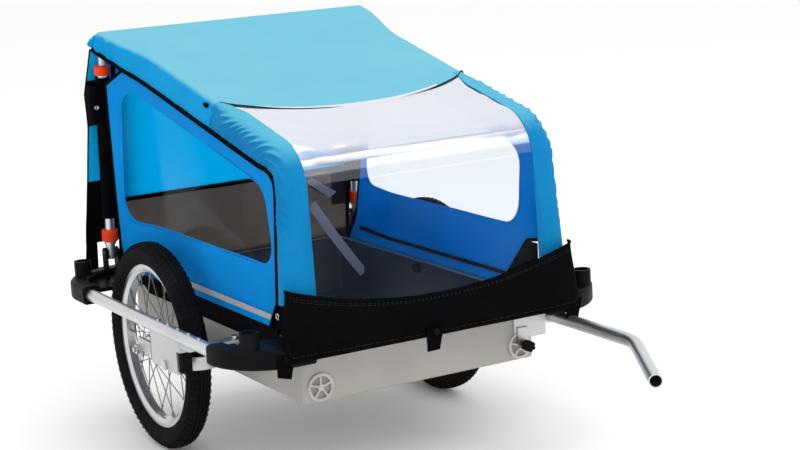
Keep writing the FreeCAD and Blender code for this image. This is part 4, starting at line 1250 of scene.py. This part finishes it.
for side, sign in SIDES:
    panel_rings = along(PANEL_RINGS, lambda share: panel_ring(sign, share))
    panel = loft(side + "_panel_cloth", panel_rings, HEAVY_THICK)
    dress(panel, side_canvas)
    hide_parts(side + "_side_panel")
    blend_panel(panel)

    pane_rings = []
    for k in range(PANE_RINGS):
        share = PANE_GROW - k / PANE_RINGS
        pane_rings.append(window_ring(sign, share, PANE_OUT + PANE_PUFF * (1 - share)))
    pane = loft(side + "_window_film", pane_rings, FILM_THICK, cap=True)
    dress(pane, pane_film)
    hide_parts(side + "_window")
    blend_panel(pane)

    front_edge = [panel_point(sign, *p, EDGE_OUT) for p in [panel_top[-1]] + PANEL_FRONT]
    rear_edge = [panel_point(sign, *p, EDGE_OUT) for p in PANEL_REAR + [panel_top[0]]]
    binding = cordline(side + "_panel_binding", [front_edge, rear_edge], PIPING_RADIUS - 1.0)
    dress(binding, edge_tape)
    blend_panel(binding)

    seams = [window_ring(sign, grow, WINDOW_SEAM_OUT) for grow in WINDOW_SEAMS]
    window_stitch = stitching(side + "_window_stitching", [seam + seam[:1] for seam in seams])
    dress(window_stitch, blue_thread)
    blend_panel(window_stitch)

    for name, rows, material in (("_reflective_stripe", STRIPE_ROWS, reflect_tape),
                                 ("_inner_tape", INNER_TAPE_ROWS, dark_thread)):
        strip = panel_strip(sign, side + name, rows, CANVAS_THICK)
        dress(strip, material)
        blend_panel(strip)

    skirt_sheet = panel_strip(sign, side + "_black_skirt", SKIRT_ROWS, HEAVY_THICK)
    dress(skirt_sheet, black_canvas, "chassis")

    high, knee, low = [panel_point(sign, *p, -GUSSET_IN) for p in PANEL_FRONT]
    gusset_line = along(GUSSET_STEPS, lambda share: high.lerp(knee, share))
    gusset_line += along(GUSSET_STEPS, lambda share: knee.lerp(low, share))[1:]
    corners = [at(sign * GUSSET_X, GUSSET_Y, p.y) for p in (PANEL_FRONT[0], PANEL_FRONT[-1])]
    gusset_edge = along(2 * GUSSET_STEPS, lambda share: corners[0].lerp(corners[1], share))
    gusset = band(side + "_front_gusset", gusset_line, gusset_edge, HEAVY_THICK)
    dress(gusset, black_canvas, "chassis")

    for number, (y, z) in enumerate(EYELETS):
        eyelet = begin(side + "_eyelet_" + str(number), bpy.ops.mesh.primitive_torus_add,
                       major_radius=EYELET_RING * MM, minor_radius=EYELET_ROUND * MM, major_segments=28,
                       minor_segments=10)
        edit_whole()
        bpy.ops.transform.resize(value=(1, 1, EYELET_FLAT))
        bpy.ops.object.mode_set(mode="OBJECT")
        smooth_faces(eyelet)
        settle(eyelet, panel_point(sign, y, z, EYELET_OUT), (sign, 0, -PANEL_LEAN))
        dress(eyelet, steel)
        blend_panel(eyelet)


# Rear panel: blue cloth above, black net below, a black seam between them

REAR_HALF = 262.0
REAR_FOOT_Y = 273.0
REAR_TOP_Y = 227.0
REAR_FOOT_Z = 270.0
REAR_LEAN_Z = 292.0
REAR_TOP_Z = 766.0
REAR_SEAM_Z = 442.0
REAR_EASE = 60.0
REAR_WAVE = (130.0, 3.0)
REAR_BLEND_LOW = at(0, 250, 310)
REAR_BLEND_HIGH = at(0, 250, 740)
REAR_EDGE_STEPS = 40


def rear_maker(low, high):
    def place(u, v):
        x = (u * 2 - 1) * REAR_HALF
        z = mix(low, high, v)
        lean = max(0.0, (z - REAR_LEAN_Z) / (REAR_TOP_Z - REAR_LEAN_Z))
        slack = smooth(REAR_FOOT_Z, REAR_FOOT_Z + REAR_EASE, z)
        slack *= smooth(REAR_TOP_Z, REAR_TOP_Z - REAR_EASE, z)
        return at(x, mix(REAR_FOOT_Y, REAR_TOP_Y, lean) + ripple(x, 0.0, z, *REAR_WAVE) * slack, z)
    return place


def blend_rear(piece):
    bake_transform(piece)


rear_cloth = cloth("rear_panel_cloth", 48, 36, rear_maker(REAR_SEAM_Z, REAR_TOP_Z), HEAVY_THICK)
dress(rear_cloth, rear_canvas)
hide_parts("rear_panel")
blend_rear(rear_cloth)

rear_mesh = cloth("rear_panel_net", 48, 20, rear_maker(REAR_FOOT_Z, REAR_SEAM_Z), CANVAS_THICK)
dress(rear_mesh, rear_net)
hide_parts("rear_panel")
blend_rear(rear_mesh)

rear_edge_place = rear_maker(REAR_FOOT_Z, REAR_TOP_Z)
rear_seam_share = (REAR_SEAM_Z - REAR_FOOT_Z) / (REAR_TOP_Z - REAR_FOOT_Z)
rear_edges = [along(REAR_EDGE_STEPS, lambda share: rear_edge_place(share, rear_seam_share)),
              along(REAR_EDGE_STEPS, lambda share: rear_edge_place(0.0, share)),
              along(REAR_EDGE_STEPS, lambda share: rear_edge_place(1.0, share))]
rear_binding = cordline("rear_panel_binding", rear_edges, PIPING_RADIUS)
dress(rear_binding, edge_tape)
blend_rear(rear_binding)


# Post covers: a black sleeve, a flap behind the post with blue fields,
# a heel flap below it, and a band round post and flap with a snap

POST_FOOT = Vector((275.0, 335.0))
POST_TOP = Vector((233.0, 768.0))
POST_HALF = 283.0
post_run = (POST_TOP - POST_FOOT).normalized()
post_across = Vector((post_run.y, -post_run.x))
COVER_ROUND = 13.6
COVER_RUN = (74.0, 361.0)
COVER_STEPS = 60
COVER_SIDES = 32
COVER_WAVE = (40.0, 0.8)
FLAP_BACK = 21.0
FLAP_HEEL_BACK = 18.5
FLAP_HEEL_Z = (356.0, 396.0)
FLAP_BEND = 2.0
FLAP_WAVE = (50.0, 1.2)
FLAP_EDGE = ((750.0, 297.0), (661.0, 313.0), (596.0, 309.0), (486.0, 316.0), (306.0, 331.0))
FLAP_EDGE_STEPS = 40
# Sheets behind the post: inner x, low z, high z and how far behind the flap
FLAP_AREA = (236.0, 356.0, 750.0, 0.0)
HEEL_AREA = (303.0, 300.0, 364.0, 4.0)
FIELD_AREA = (289.0, 484.0, 597.0, -2.2)
CORNER_AREA = (250.0, 688.0, 747.0, -2.2)
BAND_RUN_Z = (603.0, 681.0)
BAND_STEPS = 16
BAND_SIDES = 48
BAND_INNER = 16.0
BAND_OUTER = 2.0
BAND_BACK = 3.5
BAND_DEEP = 20.0
BAND_SQUARE = 0.6
BAND_WAVE = 30.0
SNAP_X = 304.0
SNAP_Z = 637.0
SNAP_FRONT = 16.6
SNAP_RADIUS = 4.5


def post_y(z):
    return mix(POST_FOOT.x, POST_TOP.x, (z - POST_FOOT.y) / (POST_TOP.y - POST_FOOT.y))


def flap_edge(z):
    """Outer edge of the flap at a height."""
    for (high, wide), (low, wider) in zip(FLAP_EDGE, FLAP_EDGE[1:]):
        if z >= low:
            return mix(wider, wide, (z - low) / (high - low))
    return FLAP_EDGE[-1][1]


def cover_ring(sign, climb):
    """Round section of the cover at a distance up the post."""
    ring = []
    for i in range(COVER_SIDES):
        turn = 2 * math.pi * i / COVER_SIDES
        radius = COVER_ROUND + ripple(climb, turn * 12.0, sign * 7.0, *COVER_WAVE)
        spot = POST_FOOT + post_run * climb + post_across * (math.cos(turn) * radius)
        ring.append(at(sign * (POST_HALF + math.sin(turn) * radius), spot.x, spot.y))
    return ring


def flap_maker(sign, inner, low, high, out):
    """A sheet behind the post between an inner line and the flap's edge."""
    def place(u, v):
        z = mix(low, high, v)
        x = mix(inner, flap_edge(z), u)
        bend = FLAP_BEND * smooth(POST_HALF, FLAP_EDGE[-1][1], x) + ripple(x, 3.0, z, *FLAP_WAVE)
        away = mix(FLAP_HEEL_BACK, FLAP_BACK, smooth(*FLAP_HEEL_Z, z))
        return at(sign * x, post_y(z) + away - bend + out, z)
    return place


def squared(value):
    """Push a sine or cosine towards its ends, which squares a round section."""
    return math.copysign(abs(value) ** BAND_SQUARE, value)


def band_ring(sign, z):
    """Closed section round the post and the flap."""
    ring = []
    middle = (POST_HALF - BAND_INNER + flap_edge(z) + BAND_OUTER) / 2
    reach = flap_edge(z) + BAND_OUTER - middle
    for i in range(BAND_SIDES):
        turn = 2 * math.pi * i / BAND_SIDES
        y = post_y(z) + BAND_BACK + squared(math.sin(turn)) * BAND_DEEP + ripple(z, turn, sign, BAND_WAVE)
        ring.append(at(sign * (middle + squared(math.cos(turn)) * reach), y, z))
    return ring


def fold_flap(sign, piece):
    """Give a sheet a mesh of its own."""
    tuple(at(sign * POST_HALF, 0, 0))
    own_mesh(piece)


for side, sign in SIDES:
    leg = side + "_leg"
    cover_rings = along(COVER_STEPS, lambda share: cover_ring(sign, mix(*COVER_RUN, share)))
    cover = loft(side + "_post_sleeve", cover_rings, HEAVY_THICK)
    dress(cover, black_canvas, leg)
    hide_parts(side + "_post_cover")

    flap_place = flap_maker(sign, *FLAP_AREA)
    flap = cloth(side + "_post_flap", 20, 60, flap_place, HEAVY_THICK)
    dress(flap, black_canvas, leg)
    fold_flap(sign, flap)

    heel = cloth(side + "_heel_flap", 8, 12, flap_maker(sign, *HEEL_AREA), HEAVY_THICK)
    dress(heel, black_canvas, "chassis")

    for name, columns, rows, area, flat in (("_flap_field", 8, 20, FIELD_AREA, (0.025, 0.114)),
                                            ("_flap_corner", 10, 10, CORNER_AREA, (0.056, 0.060))):
        field = cloth(side + name, columns, rows, flap_maker(sign, *area), CANVAS_THICK)
        dress(field, field_canvas, leg)
        fold_flap(sign, field)

    flap_rim = along(FLAP_EDGE_STEPS, lambda share: flap_place(1.0, share))
    flap_binding = cordline(side + "_flap_binding", [flap_rim], TAPE_RADIUS)
    dress(flap_binding, edge_tape, leg)
    fold_flap(sign, flap_binding)

    strap_rings = along(BAND_STEPS, lambda share: band_ring(sign, mix(*BAND_RUN_Z, share)))
    strap_band = loft(side + "_post_band", strap_rings, HEAVY_THICK)
    dress(strap_band, black_canvas, leg)
    fold_flap(sign, strap_band)

    press_stud(side + "_band_snap", at(sign * SNAP_X, post_y(SNAP_Z) - SNAP_FRONT, SNAP_Z), SNAP_RADIUS,
               steel, leg)


# Stitching along hems and borders

HEM_SEAM_LOW = 0.84
REAR_SEAM_LOW = 0.8
FILM_SEAM_SHARE = 0.05
SEAM_INSET = 7.0
HEM_SEAM_SHORT = 8.0
FILM_SEAM_SHORT = 10.0
HEM_SEAM_STEPS = 120
FILM_SEAM_STEPS = 200
APRON_SEAMS = (0.07, 0.11, 0.93)


def hem_seam(sign, share):
    return roof_spot(sign, 1.0, mix(0.0, SEAM_LENGTH - HEM_SEAM_SHORT, share), HEM_SEAM_LOW, 0.0)


def film_seam(sign, share):
    return sleeve_spot(sign, mix(SLEEVE_START + FILM_SEAM_SHORT, SLEEVE_END, share), FILM_SEAM_SHARE)


hem_seams = []
for sign in (-1, 1):
    hem_seams.append(along(HEM_SEAM_STEPS, lambda share: hem_seam(sign, share)))
    hem_seams.append(along(FILM_SEAM_STEPS, lambda share: film_seam(sign, share)))
hem_seams.append(roof_row(lambda share: seam_length(share) - SEAM_INSET))
hem_seams.append(roof_row(lambda share: 0.0, REAR_SEAM_LOW))
hem_stitch = stitching("hem_stitching", hem_seams)
dress(hem_stitch, blue_thread, "canopy")

apron_face = Vector((0, -HEAVY_THICK * MM / 2, 0))
apron_seams = [[spot + apron_face for spot in apron_row(v)] for v in APRON_SEAMS]
apron_stitch = stitching("apron_stitching", apron_seams)
dress(apron_stitch, dark_thread, "front_flap")


# Small fittings: seam toggles, inner straps and knob, vent gauzes, rail clips

TOGGLE_RADIUS = 4.4
TOGGLE_LONG = 6.0
TOGGLE_BACK = 24.0
TOGGLE_LOW = 0.3
TOGGLE_OUT = 4.0
# Webbing inside at the left: name, ends and slack
STRAPS = (("low_brace_strap", (173.0, 262.0, 370.0), (236.5, 165.0, 226.0), 4.0),
          ("high_brace_strap", (165.0, 257.0, 423.0), (222.0, 257.0, 385.0), 1.0))
STRAP_HALF = 11.0
STRAP_TWIST = Vector((1.0, 0.6, 0.0))
KNOB_RADIUS = 10.0
KNOB_FOOT = 6.0
KNOB_HEAD = 7.0
KNOB_TAPER = 0.8
KNOB_SPOT = (234.5, -66.0, 276.0)
VENT_X = 207.0
VENT_Z = 201.0
VENT_Y = -470.6
GAUZE_RADIUS = 19.6
GAUZE_THICK = 1.2
RAIL_X = 371.0
RAIL_LOW_Z = 267.0
CLIP_Y = -288.0
CLIP_SINK = 2.5
CLIP_SIZE = (13.0, 44.0, 9.0)


def grow_faces(height):
    """Extrude the selected faces outwards, or inwards if the height is negative."""
    bpy.ops.mesh.extrude_region_shrink_fatten(TRANSFORM_OT_shrink_fatten={"value": height * MM})


def toggle(name, spot, facing):
    """Small barrel with a waist that draws the roof's seam cord tight."""
    barrel = disc(name, 24, TOGGLE_RADIUS, TOGGLE_LONG)
    pick_faces(barrel, lambda face: abs(face.normal.z) > FLAT_ENOUGH)
    bpy.ops.mesh.inset(thickness=1.0 * MM)
    grow_faces(2.2)
    bpy.ops.mesh.inset(thickness=1.2 * MM)
    grow_faces(-1.4)
    round_edges(barrel, width=0.8, segments=2)
    outward(barrel)
    smooth_faces(barrel)
    settle(barrel, spot, facing)
    dress(barrel, black_plastic, "canopy")


for side, sign in SIDES:
    place = roof_spot(sign, 1.0, SEAM_LENGTH - TOGGLE_BACK, TOGGLE_LOW, 0.0)
    toggle(side + "_seam_toggle", place + Vector((sign * TOGGLE_OUT * MM, 0, 0)), (sign * 0.85, -0.2, 0.5))


def strap(name, first, last, dip):
    """Webbing between two points, with a little slack."""
    run = last - first
    wide = run.cross(STRAP_TWIST).normalized() * STRAP_HALF * MM

    def place(u, v):
        middle = first.lerp(last, u) - UP * (dip * MM * math.sin(math.pi * u))
        return middle + wide * (v * 2 - 1)
    piece = cloth(name, 40, 4, place, HEAVY_THICK)
    dress(piece, grey_webbing, "chassis")


for name, first, last, dip in STRAPS:
    strap(name, at(*first), at(*last), dip)

inner_knob = disc("tub_wall_knob", 32, KNOB_RADIUS, KNOB_FOOT)
pick_faces(inner_knob, upper_face)
grow_faces(KNOB_HEAD)
bpy.ops.transform.resize(value=(KNOB_TAPER, KNOB_TAPER, 1))
dish(rim=3.0, sink=2.0)
round_edges(inner_knob, width=1.2, segments=3)
smooth_faces(inner_knob)
settle(inner_knob, at(*KNOB_SPOT), (-1, 0, 0))
dress(inner_knob, black_plastic, "chassis")

for side, sign in SIDES:
    gauze = disc(side + "_vent_gauze", 40, GAUZE_RADIUS, GAUZE_THICK)
    pick_faces(gauze, upper_face)
    dish(rim=2.0, sink=0.4)
    smooth_faces(gauze)
    settle(gauze, at(sign * VENT_X, VENT_Y, VENT_Z), FORWARD)
    dress(gauze, gauze_cloth, "chassis")

for side, sign in SIDES:
    clip = block(side + "_rail_clip", CLIP_SIZE)
    bpy.ops.object.mode_set(mode="OBJECT")
    pick_faces(clip, lambda face: face.normal.z < -FLAT_ENOUGH)
    dish(rim=2.5, sink=-2.0)
    round_edges(clip, width=1.4, segments=3)
    smooth_faces(clip)
    settle(clip, at(sign * RAIL_X, CLIP_Y, RAIL_LOW_Z - CLIP_SINK))
    dress(clip, plate_metal, "chassis")


# Tread bars on the tyres' shoulders

WHEEL_X = 306.0
WHEEL_Z = 200.0
TYRE_RING = 176.5
TYRE_ROUND = 23.5
BAR_COUNT = 84
BAR_TILT = math.radians(43.0)
BAR_SIZE = (15.0, 6.0, 2.6)
BAR_ROUND = 0.8
BAR_SINK = 0.3

for side, sign in SIDES:
    tread = block(side + "_tread_bars", BAR_SIZE)
    bpy.ops.mesh.bevel(offset=BAR_ROUND * MM, segments=1, affect="EDGES")
    bpy.ops.transform.rotate(value=-BAR_TILT, orient_axis="Y", center_override=(0, 0, 0))
    lift = TYRE_ROUND - BAR_SINK
    bpy.ops.transform.translate(value=(lift * math.sin(BAR_TILT) * MM, 0,
                                       (TYRE_RING + lift * math.cos(BAR_TILT)) * MM))
    bpy.ops.mesh.spin(steps=BAR_COUNT, dupli=True, angle=2 * math.pi, center=(0, 0, 0), axis=(1, 0, 0))
    bpy.ops.object.mode_set(mode="OBJECT")
    finish_modifier(tread, "MIRROR", use_axis=(True, False, False), use_mirror_merge=False)
    outward(tread)
    settle(tread, at(sign * WHEEL_X, 0, WHEEL_Z))
    dress(tread, tyre_rubber, side + "_wheel")


# Stage, light and camera

FLOOR_SIZE = 40.0
SKY_STRENGTH = 0.98
LAMP_AIM = Vector((0, 0, 0.4))
# Name, place, size and power
LAMPS = (("key", (1.4, -3.0, 3.4), 2.6, 50), ("fill", (-3.4, -1.6, 2.0), 3.0, 10),
         ("top", (-0.2, 0.4, 4.2), 3.0, 28))


def stage_floor():
    floor = begin("studio_floor", bpy.ops.mesh.primitive_plane_add, size=FLOOR_SIZE, location=(0, 0, 0))
    finish = Finish("studio floor", roughness=0.9, specular_ior_level=0.1)
    finish.colour(finish.blend(finish.grain(3.0, 2.0), (0.98, 0.98, 0.98), (0.99, 0.99, 0.99)))
    floor.data.materials.append(finish.material)


def soft_lamp(name, spot, size, power):
    lamp = bpy.data.lights.new(name, "AREA")
    lamp.energy = power
    lamp.size = size
    stand = bpy.data.objects.new(name, lamp)
    stand.location = spot
    stand.rotation_euler = (LAMP_AIM - Vector(spot)).to_track_quat("-Z", "Y").to_euler()
    bpy.context.scene.collection.objects.link(stand)


stage_floor()
for lamp in LAMPS:
    soft_lamp(*lamp)

# The sky lights the part a little less than it shows to the camera, in reflections and through films
world = bpy.data.worlds.new("studio")
bpy.context.scene.world = world
world.use_nodes = True
tree = world.node_tree
sky = tree.nodes["Background"]
seen = tree.nodes.new("ShaderNodeBackground")
for background, strength in ((sky, SKY_STRENGTH), (seen, 1.0)):
    background.inputs["Color"].default_value = (1, 1, 1, 1)
    background.inputs["Strength"].default_value = strength
path = tree.nodes.new("ShaderNodeLightPath")
shown = path.outputs["Is Camera Ray"]
for ray in ("Is Glossy Ray", "Is Transmission Ray"):
    either = tree.nodes.new("ShaderNodeMath")
    either.operation = "MAXIMUM"
    tree.links.new(shown, either.inputs[0])
    tree.links.new(path.outputs[ray], either.inputs[1])
    shown = either.outputs[0]
choose = tree.nodes.new("ShaderNodeMixShader")
for number, socket in enumerate((shown, sky.outputs[0], seen.outputs[0])):
    tree.links.new(socket, choose.inputs[number])
tree.links.new(choose.outputs[0], tree.nodes["World Output"].inputs[0])

CAMERA_AZIMUTH = -0.516686
CAMERA_RISE = 0.196079
CAMERA_ROLL = -0.0569219
CAMERA_SPOT = (-1662.99, -3344.90, 1117.58)
CAMERA_FOCUS_PX = 1927.46
IMAGE_WIDTH_PX = 800.0

camera = bpy.data.cameras.new("camera")
camera.sensor_width = 36.0
camera.lens = CAMERA_FOCUS_PX * camera.sensor_width / IMAGE_WIDTH_PX
holder = bpy.data.objects.new("camera", camera)
bpy.context.scene.collection.objects.link(holder)
back = Vector((math.sin(CAMERA_AZIMUTH) * math.cos(CAMERA_RISE),
               -math.cos(CAMERA_AZIMUTH) * math.cos(CAMERA_RISE), math.sin(CAMERA_RISE)))
right = (-back).cross(UP).normalized()
upright = right.cross(-back)
turned_right = right * math.cos(CAMERA_ROLL) + upright * math.sin(CAMERA_ROLL)
turned_up = upright * math.cos(CAMERA_ROLL) - right * math.sin(CAMERA_ROLL)
view = Matrix((turned_right, turned_up, back)).transposed().to_4x4()
view.translation = at(*CAMERA_SPOT)
holder.matrix_world = view
bpy.context.scene.camera = holder
bpy.context.scene.view_settings.view_transform = "Standard"
